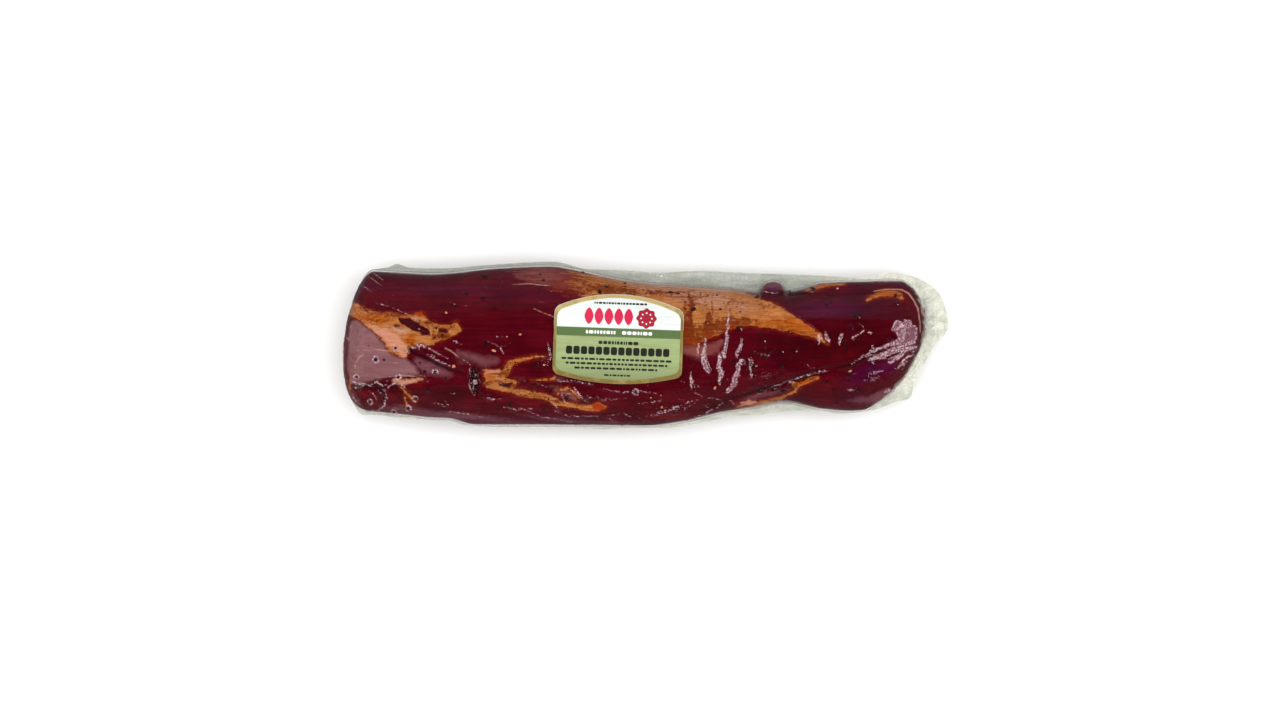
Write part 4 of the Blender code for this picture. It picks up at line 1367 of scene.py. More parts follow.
@dataclass(frozen=True)
class Spice:
    """Cracked pepper and pale seeds under the film: those strewn by the part's rule, and those that show."""

    shape: PackShape
    seed: int = 41
    count: int = 56
    along: Pair = (-134.0, 122.0)
    across: float = 0.86
    near_bias: float = 0.62
    long: Pair = (1.2, 2.2)
    slimness: Pair = (0.55, 0.95)
    rises: Pair = (0.5, 0.85)
    sunk: float = 0.4
    crumbs: int = 420
    crumbs_drawn: int = 2520
    crumb_long: Pair = (0.35, 0.85)
    crumb_slimness: Pair = (0.5, 1.0)
    crumb_rise: float = 0.22
    crumb_gather: float = 1.3
    crumb_anywhere: float = 0.05
    rise_share: float = 0.45
    placed_rises: Pair = (0.35, 0.75)
    strewn_shown: tuple[float, ...] = (1, 1, 0.75, 0.75, 1, 0.4)
    pepper_shown: tuple[float, ...] = (1, 1, 1.15, 1.15, 1, 1)
    bedded: float = 0.25
    tent_wider: float = 0.55
    tent_higher: float = 0.12
    tent_reach: float = 5.0
    pepper: Stations = (
        (-74, 31.5, 3.6, 1, -25), (-83, 23.8, 1.6, 1, 0), (-75, 22, 1.8, 1.2, 0), (-74, 1, 2, 1.1, 10),
        (-50.5, -8.5, 1.4, 1.2, 0), (-21.5, 24.5, 2.8, 1.4, 90), (-18.5, 27, 1.8, 0.9, -20),
        (-10, 28.8, 1.5, 0.9, 0), (-29.5, 33.8, 1.4, 0.9, -15), (-5.5, 23.2, 1.8, 0.9, -20),
        (11, 24.6, 2.4, 0.9, -5), (14.5, 24, 1.4, 1, 10), (21.5, 16.7, 1.9, 1.8, 0), (34, 16.7, 1.2, 1, 0),
        (32.5, 23.3, 1, 0.7, 0), (27.5, 10.8, 1.2, 0.7, 0), (43, 15.5, 1.2, 0.6, 0), (42.5, 8, 1.8, 1.4, 0),
        (97, 13.5, 2.6, 1.3, -30), (94, 8, 1.6, 1, 0), (115, 23, 1.8, 1.2, 80), (115, 19.5, 1.4, 1, 0),
        (93, -13.5, 2, 1.2, -20), (97, -20.5, 1.8, 1, 0), (88, -26.5, 1.6, 1, 0), (-67.5, 30, 1, 0.6, 0),
        (-104, -8, 0.8, 0.7, 0), (64, -21, 1.4, 0.9, 0), (66.5, 25.3, 1.6, 0.9, 0), (77, 26.4, 2, 1.3, 0),
        (-49, 33, 1.2, 0.7, -20), (36.5, -27, 2.4, 0.9, -15), (47, -8, 1.6, 0.9, 20),
        (40.8, -7.5, 1.3, 1, 0), (49.7, -10, 1.5, 1.1, 30), (55, -5, 1.2, 0.9, 0), (52.8, -21, 1.5, 1, 60),
        (58.5, -20.7, 1.5, 1.1, 0), (63, -21, 1.6, 1.1, 20), (59, -15.7, 1.1, 0.9, 0),
        (66.5, -18, 1.2, 0.9, 0), (49.6, -14.6, 1, 0.8, 0), (-10, 27.4, 1, 0.6, 0), (2, 24.2, 1.2, 0.6, 0),
        (83, 19, 1.6, 0.8, 0),
    )
    ringed: Stations = (
        (-124.3, -6.5, 1.5, 1.3, 60), (-115, -1.2, 1.3, 1.1, 0), (-133.5, -14.5, 1.1, 1, 0),
        (-97, -12.2, 1.3, 0.9, 0), (-106.5, -24.6, 1.6, 0.8, 0), (-110, -29, 1.3, 1, 0),
        (-117, -31, 1.2, 0.8, 0), (-114, -14.6, 1.4, 0.9, 0), (-5, -21.5, 1.5, 1, 40),
        (-127.5, -26, 1, 0.8, 0), (44, -7.6, 1.2, 0.8, 0),
    )
    seeds: Stations = (
        (-92, 15, 1.3, 1, -30), (-70, -2.4, 2.2, 1.2, -20), (-88.5, -9.6, 1.7, 1.6, 0),
        (-58, 5, 1.5, 0.9, 0), (-47, -9, 1.2, 1, 0), (31.5, -19.6, 1.6, 1.2, 60), (7, -28.5, 1, 1, 0),
        (102.5, 6, 1.4, 1, 0), (93.8, -11.8, 1.8, 0.9, 20), (106, -5.4, 1.6, 0.9, 0),
        (88.5, 26.4, 1.2, 0.9, 0), (2, -24, 0.8, 0.6, 0), (8.6, -30, 1.2, 0.9, 40), (-64, 4, 0.9, 0.7, 0),
        (6.6, -23, 0.7, 0.6, 0),
    )

    def strewn(self) -> Floats:
        """Draws the grains that the solid holds too, in the same order from the same seed.

        Returns:
            (x, y, length, width, turn in degrees, rise) of each grain clear of the label.
        """
        draw = np.random.default_rng(self.seed)
        x = draw.uniform(*self.along, self.count)
        across = draw.uniform(-self.across, self.across, self.count)
        across = np.where(draw.random(self.count) < self.near_bias, -np.abs(across), across)
        length = draw.uniform(*self.long, self.count)
        width = length * draw.uniform(*self.slimness, self.count)
        rise = draw.uniform(*self.rises, self.count)
        turn = draw.uniform(0, 180, self.count)
        y = self.shape.placed_across(x, across)
        return np.column_stack([x, y, length, width, turn, rise])[Sticker.clear_of(x, y)]

    def placed(self, places: Stations) -> Floats:
        """Adds a rise to each listed grain, a bit under half its width."""
        rows = np.array(places, float)
        return np.column_stack([rows, np.clip(rows[:, 3] * self.rise_share, *self.placed_rises)])

    def tent_width(self, length: Floats, width: Floats) -> Floats:
        """Reach of the film's tent over a grain: the grain's mean radius and a little more."""
        return (length + width) / 4 + self.tent_wider

    def tents(self, x: Floats, y: Floats) -> Floats:
        """Rise of the film over every grain: a soft cone over each, a little wider than the grain.

        Args:
            x: plan position along the meat.
            y: plan position across it.

        Returns:
            The rise, in mm.
        """
        strewn = self.strewn() * (1, 1, 1, 1, 1, self.sunk)
        lumps = [strewn, *(self.placed(places) for places in (self.pepper, self.ringed, self.seeds))]
        rise = np.zeros(np.shape(x))
        for gx, gy, length, width, _, height in np.concatenate(lumps):
            near = (np.abs(x - gx) < self.tent_reach) & (np.abs(y - gy) < self.tent_reach)
            reach = self.tent_width(length, width)
            squared = ((x[near] - gx) ** 2 + (y[near] - gy) ** 2) / reach**2
            rise[near] = np.maximum(rise[near], (height + self.tent_higher) * np.exp(-squared))
        return rise

    def crumb_places(self, marks: MeatMarks) -> Floats:
        """Draws fine pepper dust, kept where seams and speckled places hold it or, more rarely, anywhere.

        Args:
            marks: the meat's marks, for its speckled places.

        Returns:
            (x, y, length, width, turn, rise) of each crumb.
        """
        draw = np.random.default_rng(self.seed + 1)
        x = draw.uniform(*self.along, self.crumbs_drawn)
        y = self.shape.placed_across(x, draw.uniform(-self.across, self.across, len(x)))
        chance = np.clip(blobs(x, y, marks.speckled) * self.crumb_gather, self.crumb_anywhere, 1)
        kept = (draw.random(len(x)) < chance) & Sticker.clear_of(x, y)
        x, y = x[kept][: self.crumbs], y[kept][: self.crumbs]
        length = draw.uniform(*self.crumb_long, len(x))
        width = length * draw.uniform(*self.crumb_slimness, len(x))
        turn = draw.uniform(0, 180, len(x))
        return np.column_stack([x, y, length, width, turn, np.full(len(x), self.crumb_rise)])

    def grains(self, name: str, kind: Grain, places: Floats, sides: int, rings: int) -> bpy.types.Object:
        """Builds grains as one mesh: each an ellipsoid in two angles, its radius roughened by seeded noise.

        Args:
            name: the object's name.
            kind: pepper or seed.
            places: (x, y, length, width, turn, rise) of each grain.
            sides: points round a grain.
            rings: rings between its poles.

        Returns:
            The grains.
        """
        draw = np.random.default_rng(self.seed + len(places))
        polar = np.linspace(0, math.pi, rings + 2)[1:-1, None]
        turn = np.linspace(0, 2 * math.pi, sides, endpoint=False)[None, :]
        ring = np.sin(polar)
        ball = np.stack([ring * np.cos(turn), ring * np.sin(turn), np.cos(polar) + 0 * turn], axis=-1)
        ball = np.concatenate([[[0, 0, 1]], ball.reshape(-1, 3), [[0, 0, -1]]])
        uneven = kind.value.uneven
        size = 1 + draw.uniform(-uneven, uneven, (len(places), len(ball)))
        x, y, length, width, degrees, rise = places.T[:, :, None]
        local = ball[None] * size[..., None] * np.stack([length / 2, width / 2, rise], axis=-1)
        cosine, sine = np.cos(np.radians(degrees)), np.sin(np.radians(degrees))
        points = np.stack([
            x + local[..., 0] * cosine - local[..., 1] * sine,
            y + local[..., 0] * sine + local[..., 1] * cosine,
            self.shape.top(x, y) - self.bedded + local[..., 2],
        ], axis=-1)
        faces = repeated_faces(len(places), sides, rings, ball=True)
        return mesh_object(name, points, faces, kind.value.build())

    def build(self, marks: MeatMarks) -> list[bpy.types.Object]:
        """Builds the pepper, its dust and the seeds.

        Args:
            marks: the meat's marks, for where the dust gathers.

        Returns:
            Three objects.
        """
        strewn, pepper = self.strewn() * self.strewn_shown, self.placed(self.pepper) * self.pepper_shown
        corns = np.concatenate([strewn, pepper, self.placed(self.ringed)])
        return [
            self.grains("pepper", Grain.PEPPER, corns, 9, 5),
            self.grains("pepper_dust", Grain.PEPPER, self.crumb_places(marks), 6, 2),
            self.grains("seeds", Grain.SEED, self.placed(self.seeds), 12, 6),
        ]


@dataclass(frozen=True)
class Bag:
    """The vacuum bag: an upper and a lower web of film that meet in a pressed rim."""

    shape: PackShape
    marks: MeatMarks
    spice: Spice
    step: float = 0.5
    corner_steps: int = 22
    top_columns: int = 138
    rim_columns: int = 12
    under_columns: int = 60
    # Folds drawn on the film: each raises a low ridge and is painted as a pale highlight.
    highlighted_folds: tuple[Stations, ...] = (
        ((23.6, 0.7, 0.3), (23.3, -2, 0.3), (22.9, -4.2, 0.15)),
        ((26.8, 2.6, 0.3), (26.3, -1, 0.5), (25.9, -4, 0.7), (26.2, -7, 1.2), (27.3, -10, 1.3),
         (28.8, -12.6, 0.6)),
        ((38.2, 14.5, 0.5), (37.5, 12, 0.45), (37.2, 8, 0.4), (36.8, 4, 0.6), (36.6, 1, 0.5),
         (35.8, -1.5, 0.6), (35.2, -4, 0.5), (35.5, -6.5, 0.3)),
        ((39.5, 12.5, 0.15), (39, 9, 0.1)),
        ((33.7, -3.8, 0.5), (33.4, -7, 0.9), (33, -10, 1), (34.4, -13, 1), (33.8, -16, 0.8),
         (33.5, -18, 0.3)),
        ((43.6, 3.4, 0.15), (43.1, 0.5, 0.6), (41.8, -3, 0.9), (41, -5, 0.4)),
        ((43.5, -6.5, 0.5), (42.3, -9, 1.1), (42, -12, 1), (41, -15, 1.2), (40.2, -18, 1.3),
         (37.5, -21, 1.2), (36.3, -22, 0.3)),
        ((47.3, -6, 0.2), (47.8, -11, 0.35), (48.3, -15.5, 0.4)),
        ((20.5, -12, 0.15), (20.3, -15, 0.6), (20.8, -18, 0.7), (20.5, -20, 0.2)),
        ((53, -22, 0.4), (50.5, -22.8, 0.3)),
        ((79.3, 5.2, 0.7), (79.2, 3, 0.55), (79.2, 0.3, 0.25)),
        ((82.3, 6.3, 0.5), (83, 3.5, 0.9), (84, 1.5, 0.5)),
        ((90, 6, 0.25), (89.2, 3, 0.6), (88.8, 0.7, 0.4)),
        ((95, 3.3, 0.4), (97.5, 5.2, 0.6), (100, 7, 0.4)),
        ((113.8, 7.5, 1), (116, 9.6, 1.8)),
        ((119.5, 9.8, 2), (121, 10.2, 1.6)),
        ((117, 6.5, 2.4), (123.2, 7.5, 2), (122.6, 3.5, 2.4), (118.5, 4, 2.8)),
        ((119, 2, 2), (114.5, 1.2, 1), (109, -0.6, 0.7), (103, -3, 0.6), (98, -6, 0.5), (94, -8.4, 0.15)),
        ((117, 0.6, 0.2), (111, -0.8, 0.3), (105, -2.8, 0.3), (99, -5.6, 0.15)),
        ((124.5, 1.6, 0.4), (119, 0.2, 0.5), (113, -1.8, 0.4), (107, -3.8, 0.3), (101, -5.2, 0.2)),
        ((124.8, -2.4, 0.4), (120, -3.2, 0.3), (115, -5.2, 0.35), (110, -6.6, 0.2)),
        ((122.6, -6.4, 0.2), (119.4, -8.2, 0.35), (117.8, -11, 0.2)),
        ((108, -15.4, -0.05), (104, -16.4, 0.1), (100, -16, 0)),
        ((97, -19.4, 0.2), (94.4, -20.6, 0.45), (91.6, -20.2, 0.2)),
        ((125, -0.6, 0.7), (119, -1.6, 1.1), (113, -3.4, 1), (107, -5.2, 1.2), (102, -6.6, 0.5)),
        ((124, -4.4, 0.4), (120.6, -5.2, 0.7), (117, -9, 0.8), (115.6, -11, 0.3)),
        ((118, -4.6, 0.8), (112, -7.8, 0.6)),
        ((112, -20.6, 0.8), (109.6, -21.4, 0.3)),
        ((-108, -1.4, 0.3), (-104, 0, 0.7), (-100, -1, 0.5), (-96, -3.6, 0.35), (-91, -6, 0.2)),
        ((-101, -4, 0.2), (-95, -7.4, 0.45), (-90, -9.4, 0.25)),
        ((-89.6, 2.6, 0.15), (-87.4, 1.6, 0.35), (-84.8, 0.4, 0.15)),
        ((-73.8, 2.4, 0.1), (-69.5, 0.6, 0.2), (-66.5, -1.8, 0.3), (-65.3, -4, 0.2)),
        ((-92, 20.2, 0.1), (-88, 18.9, 0.2), (-82, 18, 0.1)),
        ((-127.6, 34.4, 0.1), (-124.6, 32.2, 0.2), (-121.6, 30.2, 0.1)),
        ((-134, 28, 0.1), (-129.4, 26.8, 0.25), (-126.4, 24.4, 0.15)),
        ((-125, 19.8, 0.1), (-117, 17.4, 0.15), (-110, 14.4, 0.15), (-103, 10.2, 0.1)),
        ((-80, -9.6, 0.1), (-84, -6.6, 0.2), (-88, -5.4, 0.1)),
        ((-76, -23.6, 0.15), (-71, -24.6, 0.3), (-66, -24.4, 0.1)),
        ((-101, -26.4, 0.1), (-96, -26.6, 0.3), (-92, -28.4, 0.2)),
        ((-59, -28.3, 0.1), (-55, -30, 0.15), (-49, -32.8, 0.2), (-42, -34, 0.15), (-34, -35.4, 0.1)),
        ((-42, -30.3, 0.1), (-36, -32.8, 0.2), (-28, -32.5, 0.2), (-20, -32.8, 0.15), (-11, -31.2, 0.2),
         (-7, -33, 0.1)),
        ((-18, -33.5, 0.1), (-11, -37, 0.1)),
        ((18, -35, 0.15), (26, -32, 0.2), (33, -28.4, 0.2), (36, -26, 0.1)),
        ((57, -19.4, 0.1), (62, -17.8, 0.25), (70, -14.8, 0.25), (80, -12, 0.3), (84, -11.6, 0.1)),
        ((-45.4, 1.5, 0.2), (-44.6, -3, 0.4), (-44.4, -6, 0.2)),
        ((-43.8, -26, 0.2), (-41.6, -28, 0.3), (-40.8, -30, 0.1)),
        ((-137.5, 8.6, 0.4), (-135.4, 8.2, 0.15)),
        ((-69, 4.2, 0.2), (-64.8, 3.2, 0.2)),
        ((48, -4.6, -0.1), (55, -4.6, 0), (60, -3.2, 0), (68, -1.8, -0.05), (75, -1, -0.1)),
        ((-137.6, -15.6, 0.2), (-133, -17.6, 0.5), (-128, -18, 0.4), (-124, -16.8, 0.55),
         (-121.4, -18.6, 0.4)),
        ((-120.4, -20, 0.2), (-119.8, -24.4, 0.45), (-121.4, -28, 0.5), (-125.6, -30.2, 0.3),
         (-131, -30.4, 0.1)),
        ((-119, -19.4, 0.2), (-116, -17.4, 0.45), (-112, -18.2, 0.3), (-110.6, -20, 0.1)),
        ((-137, -20, 0), (-135.4, -24.6, 0.25), (-131.6, -28, 0.1)),
        ((-128.4, -20.4, 0), (-125.6, -22.4, 0.25), (-124, -25.6, 0.1)),
        ((-81.4, -10.2, 0), (-81, -12.6, 0.3), (-82, -14.8, 0)),
        ((-82.2, -16.4, 0), (-81.2, -19.2, 0.35), (-79.6, -22.8, 0.1)),
        ((-76.2, -12.4, 0), (-77.2, -14.8, 0.2), (-76.4, -17, 0)),
        ((4, 32.7, 0.2), (7, 32.3, 0.5), (9.5, 32.8, 0.1)),
        ((5.6, 31, 0.1), (6.2, 29.6, 0.3)),
        ((53.4, 25.2, 0.1), (54.2, 27.4, 0.3), (56.4, 29.2, 0.2)),
        ((54, 25.2, 0.2), (57, 24.4, 0.35), (61, 24.4, 0.2)),
        ((-46, -15.6, 0.1), (-38, -16, 0.35), (-30, -16.8, 0.25), (-24, -18.6, 0.1)),
        ((-33.6, -18.6, 0.2), (-31.6, -22, 0.45), (-29, -25, 0.3), (-26.6, -26.4, 0.1)),
        ((-37, -18.4, 0), (-39, -22, 0.3), (-37.6, -26, 0.15)),
        ((-22, -19.4, 0), (-12, -21.6, 0.3), (-3, -20.8, 0.25), (8, -22.6, 0.1)),
        ((-26, -24, 0.1), (-18, -25.4, 0.25), (-9, -24.2, 0.1)),
        ((-6, -27, 0), (2, -26, 0.25), (10, -24.8, 0.1)),
        ((0, -33, 0.1), (8, -31, 0.35), (16, -27.4, 0.3), (24, -24.6, 0.1)),
        ((-66, -28.4, 0.1), (-60, -29.6, 0.3), (-52, -29, 0.1)),
        ((-92, -30.6, 0.1), (-84, -31.4, 0.3), (-76, -33, 0.1)),
        ((125.5, 27.6, 0.1), (130, 22.5, 0.3), (133, 15.5, 0.2), (135.6, 9.5, 0.3), (136.6, 3.6, 0.1)),
        ((131, 12.4, 0.1), (134.4, 9.6, 0.4), (137.6, 7.6, 0.6), (138.6, 10, 0.1)),
        ((123.6, -14.4, 0.2), (127.4, -11.4, 0.5), (131, -6.4, 0.2)),
        ((110, -23.4, 0.1), (116, -19.8, 0.5), (120.6, -18.2, 0.3), (123.4, -15.6, 0.1)),
        ((110, 31.8, 0), (117, 30.8, 0.2), (123, 27.6, 0.1)),
        ((130, 2, 0.1), (132.6, -1.6, 0.4), (131.6, -5, 0.1)),
        ((117.6, -18, 0.6), (121, -14.4, 1.4), (124.6, -10.6, 1.6), (127.6, -5.6, 1.1), (129.6, -1, 0.4)),
        ((124, -20, 0.2), (125.4, -16, 0.6), (124.2, -13.6, 0.2)),
        ((131.4, 13.6, 0.3), (133.6, 9, 0.5), (133, 5.4, 0.2)),
        ((135.6, 17.4, 0.1), (137.8, 13.6, 0.3), (139.2, 9.6, 0.2)),
    )
    # Outline of the band of painted reflection by the tail.
    reflection_mist: Stations = (
        (52, 24), (58, 20), (66, 13.8), (70, 12.4), (95, 12.2), (118, 11.6), (122, 15), (121, 20), (117, 24),
        (100, 23.8), (80, 23.2), (66, 23.4),
    )
    fold_height: float = 0.7
    bridged: float = 0.6
    waver: Noise = Noise(61, 1.6, 1.3, 2)
    highlight_waver: float = 0.55
    fold_waver: float = 0.35
    hairlines: int = 130
    hairline_seed: int = 97
    hairline_share: float = 0.4
    hairline_near: float = 0.45
    hairline_starts: Pair = (-136.0, 116.0)
    hairline_across: Pair = (-0.92, 0.92)
    hairline_turn: Pair = (-6.0, 22.0)
    hairline_long: Pair = (2.5, 9.0)
    hairline_bend: Pair = (-0.25, 0.25)
    hairline_wide: Pair = (-0.12, 0.18)
    hairline_tips: float = -0.15
    hairline_reach: float = 7.0
    # Strengths of the painted reflection: the band by the tail, the far half, and the long edges.
    reflection_mist_edge: Pair = (-0.5, 0.7)
    reflection_mist_share: float = 0.3
    far_half_share: float = 0.16
    edge_share: float = 0.24
    reflection_mist_clouds: Noise = Noise(101, 22, 3.0, 2, 0.5)
    # Pale rings painted round some corns: painted highlights where the film tents off them.
    ring_breaks: Noise = Noise(137, 1.5, 1.5, 1, 0.4)
    ring_half: float = 0.5
    ring_sharp: float = 1.3
    ring_off: float = 0.1
    # Painted glints: white specks where a fine noise peaks, more of them in speckled places.
    glints: Noise = Noise(67, 1.3, 0.8)
    glint_gather: float = 0.66
    glint_limit: float = 1.16
    end_pleats: Noise = Noise(109, 26, 4.4, 2)
    side_pleats: Noise = Noise(113, 4.2, 26, 2)
    pleat_patches: Noise = Noise(127, 17, 26)
    pleat_widths: Pair = (0.3, 0.22)
    pleat_heights: Pair = (1.6, 1.5)
    drawn_streaks: Noise = Noise(71, 34, 2.6, 2, 0.07)
    cross_waves: Noise = Noise(73, 4.5, 18, 2, 0.04)
    fine_crinkles: Noise = Noise(79, 1.5, 1.3, 2, 0.3)
    deepest_wrinkle: float = -0.3
    rim_waves: Noise = Noise(83, 11, 30, 2, 0.7)
    rim_crinkles: Noise = Noise(89, 3.6, 3.0, 3)
    crinkle_height: float = 1.1
    rim_settles: float = 5.0
    tab_length: float = 30.0
    pressed: float = 0.18
    # Grey of the rim: patches on the near side, and on the tab crease lines and mottles that are painted
    # reflections.
    near_clouds: Noise = Noise(131, 9, 2, 2, 0.3)
    tab_facets: Noise = Noise(107, 8, 6, 3)
    tab_mottle: Noise = Noise(103, 3.4, 3, 2)
    tab_spots: Stations = ((129.6, 17, 2.4, 8, 0.4), (131, 3, 2.4, 5, 0.3))

    def hairline_depth(self, x: Floats, y: Floats) -> Floats:
        """Depth inside seeded fine creases, painted as pale highlight lines: short bent strokes, most of them
        on the near half and along X.

        Args:
            x: plan position along the meat.
            y: plan position across it.

        Returns:
            Millimetres inside the nearest crease, below zero outside.
        """
        draw = np.random.default_rng(self.hairline_seed)
        start = draw.uniform(*self.hairline_starts, self.hairlines)
        across = draw.uniform(*self.hairline_across, self.hairlines)
        across = np.where(draw.random(self.hairlines) < self.hairline_near, -np.abs(across), across)
        side = self.shape.placed_across(start, across)
        turn = np.radians(draw.normal(*self.hairline_turn, self.hairlines))
        length = draw.uniform(*self.hairline_long, self.hairlines)
        bend = draw.uniform(*self.hairline_bend, self.hairlines)
        width = draw.uniform(*self.hairline_wide, self.hairlines)
        depth = np.full(np.shape(x), FAR_OUTSIDE)
        for i in range(self.hairlines):
            along = np.array([0.0, 0.5, 1.0]) * length[i]
            heading = turn[i] + np.array([0.0, bend[i], 2 * bend[i]])
            px, py = start[i] + along * np.cos(heading), side[i] + along * np.sin(heading)
            half = width[i] + np.array([self.hairline_tips, 0.0, self.hairline_tips])
            near_it = (np.abs(x - px[1]) < self.hairline_reach) & (np.abs(y - py[1]) < self.hairline_reach)
            crease = stroke_depth(x[near_it], y[near_it], tuple(zip(px, py, half)))
            depth[near_it] = np.maximum(depth[near_it], crease)
        return depth

    def haze(self, x: Floats, y: Floats) -> Floats:
        """Painted reflection on the film, a thin bluish sheen: a sharp-edged band by the tail, the far half,
        and both long edges.

        Args:
            x: plan position along the meat.
            y: plan position across it.

        Returns:
            The strength, from 0 to 1.
        """
        band = ease(outline_depth(x, y, self.reflection_mist), *self.reflection_mist_edge) * self.reflection_mist_share
        far_half = ease(y, 10, 22) * (1 - ease(x, -40, -20)) * self.far_half_share
        edges = 1 - ease(self.shape.profile(x, y, self.shape.top_squareness), 0.2, 0.75)
        cloud = 1 + self.reflection_mist_clouds.at(*self.shape.unrolled(x, y))
        return np.clip((np.maximum(band, far_half) + edges * self.edge_share) * cloud, 0, 1)

    def dry(self, x: Floats, y: Floats) -> Floats:
        """Depth inside the painted highlights, where the film also stands off the meat: the drawn folds, fine
        creases, rings round corns, and glints.

        Args:
            x: plan position along the meat.
            y: plan position across it.

        Returns:
            Millimetres inside such a place, below zero outside.
        """
        skin = self.shape.unrolled(x, y)
        shift = self.waver.at(*skin) * self.highlight_waver
        fine = shift * self.hairline_share
        folds = deepest(x + shift, y - shift, self.highlighted_folds)
        depth = np.maximum(folds, self.hairline_depth(x + fine, y - fine))
        ring_depth = self.ring_half + self.ring_breaks.at(*skin)
        for gx, gy, length, width, _ in self.spice.ringed:
            off_ring = np.hypot(x - gx, y - gy) - self.spice.tent_width(length, width) - self.ring_off
            depth = np.maximum(depth, ring_depth - self.ring_sharp * np.abs(off_ring))
        speckled = np.clip(blobs(x, y, self.marks.speckled), 0, 1.6) * self.glint_gather
        return np.clip(np.maximum(depth, self.glints.at(*skin) + speckled - self.glint_limit), -2, 3)

    def pleats(self, x: Floats, skin: tuple[Floats, Floats]) -> Floats:
        """Tension pleats of the shrunk film: sharp ridges down both end faces, and upright ones on the sides.

        Args:
            x: plan position along the meat.
            skin: the same places on the skin laid flat.

        Returns:
            The rise of both, in mm.
        """
        at_ends = np.maximum(ease(-x, 131, 139), ease(x, 119, 128))
        ends, sides = (
            np.clip(width - np.abs(noise.at(*skin)), 0, 1) * height
            for noise, width, height in zip(
                (self.end_pleats, self.side_pleats), self.pleat_widths, self.pleat_heights
            )
        )
        patchy = ease(self.pleat_patches.at(*skin), -0.3, 0.5)
        return ends * at_ends + sides * patchy * (1 - at_ends)

    def wrinkles(self, x: Floats, y: Floats) -> Floats:
        """Rise of the film over the meat: folds with one long flank, streaks drawn along, and fine crinkles.

        Args:
            x: plan position along the meat.
            y: plan position across it.

        Returns:
            The rise, in mm. It dies out under the label.
        """
        skin = self.shape.unrolled(x, y)
        shift = self.waver.at(*skin) * self.fold_waver
        folds = ease(deepest(x + shift, y - shift, self.highlighted_folds), -0.7, 1.1) * self.fold_height
        fine = self.fine_crinkles.at(*skin) * np.clip(blobs(x, y, self.marks.speckled), 0, 1)
        profile = self.shape.profile(x, y, self.shape.top_squareness)
        pleats = self.pleats(x, skin) * (1 - ease(profile, 0.45, 0.8))
        waves = self.drawn_streaks.at(*skin) + self.cross_waves.at(*skin)
        rise = (folds + waves + fine + pleats + self.spice.tents(x, y)) * Sticker.clear_share(x, y)
        return np.maximum(rise, self.deepest_wrinkle * profile)

    def rim_ripple(self, x: Floats, outwards: Floats) -> Floats:
        """Height that the free rim waves by: long waves and sharp crinkles, growing with the distance out.

        Args:
            x: plan position along the bag.
            outwards: distance out from the meat.

        Returns:
            The height, in mm.
        """
        sharp = (0.5 - np.abs(self.rim_crinkles.at(x, outwards))) * self.crinkle_height
        return (self.rim_waves.at(x, outwards) + sharp) * ease(outwards, 0, self.rim_settles)

    def tab_ripple(self, x: Floats) -> Floats:
        """Height that the tab past the tail waves by, whose distance out runs along X."""
        return self.rim_ripple(x, np.clip(x - self.shape.meat_end, 0, self.tab_length))

    def rim_height(self, x: Floats, out: Floats, way: int) -> Floats:
        """Height of a web in the rim: it falls from the meat's widest line, and closes on the other web.

        Args:
            x: plan position along the bag.
            out: distance out from the meat, one row for each x.
            way: 1 for the upper web and -1 for the lower one.

        Returns:
            The height over the table, in mm.
        """
        shape = self.shape
        base = shape.widest(x) - shape.rim_fall * out + self.rim_ripple(x, out)
        base = base + self.tab_ripple(x) * (1 - ease(out, 0, self.rim_settles))
        edge = np.clip(1 - out / np.maximum(out.max(axis=1, keepdims=True), 1e-6), 0, 1)
        return base + way * (shape.rim_thickness / 2 * edge + self.pressed * (1 - edge))

    def body(self, grid: tuple[Floats, Floats], squareness: float, upper: bool) -> Floats:
        """The web over or under the meat: the pack's surface, raised along its own normal by the wrinkles.

        Args:
            grid: x and y of its points.
            squareness: the cross-section's superellipse power.
            upper: the upper web, or the lower one.

        Returns:
            An (x, y, z) for each point, in mm.
        """
        shape = self.shape
        profile, skin = shape.profile(*grid, squareness), shape.unrolled(*grid, upper)
        if upper:
            height = shape.top(*grid, self.bridged) + self.marks.rise(*grid, skin) * profile
            relief = self.wrinkles(*grid)
        else:
            height = shape.under(*grid)
            relief = self.pleats(grid[0], skin) * (1 - ease(profile, 0.5, 0.75))
        past_tail = ease(grid[0], shape.meat_end - 2, shape.meat_end + 4)
        points = np.stack([*grid, height + self.tab_ripple(grid[0]) * past_tail], axis=-1)
        normal = np.cross(np.gradient(points, axis=1), np.gradient(points, axis=0)) * (1 if upper else -1)
        normal = normal / np.maximum(np.linalg.norm(normal, axis=-1, keepdims=True), 1e-9)
        return points + normal * (relief * ease(profile, 0.02, 0.2))[..., None]

    def greyed_and_shaded(self, x: Floats, y: Floats, out: Floats, web: Floats) -> Floats:
        """How grey the doubled film looks, in part painted shade and reflection: along the far rim as painted
        shade, darker near the meat; patchy on the near rim; and in facets, mottles and spots on the tab, as
        painted reflections of dark surroundings in its creases.

        Args:
            x: plan position along the bag.
            y: plan position across it.
            out: distance out from the meat.
            web: 1 where the two webs lie together, and 0 over the meat.

        Returns:
            The strength, from 0 to 1.
        """
        cloud = web * ease(y, 24, 28) * (1 - ease(x, 66, 112)) * (1.15 - ease(out, 0, 7) * 0.35)
        cloud = cloud + web * ease(-y, 18, 25) * (0.35 + self.near_clouds.at(x, y))
        cloud = cloud + blobs(x, y, self.tab_spots) * web
        facets = np.clip(0.14 - np.abs(self.tab_facets.at(x, y)), 0, 1) * 3.6
        mottled = np.clip(self.tab_mottle.at(x, y), 0, 1) * 0.6
        on_tab = (facets + mottled * ease(x + y * 0.5, 124, 136)) * ease(x, 108, 124)
        return np.clip(cloud + on_tab * web, 0, 1)

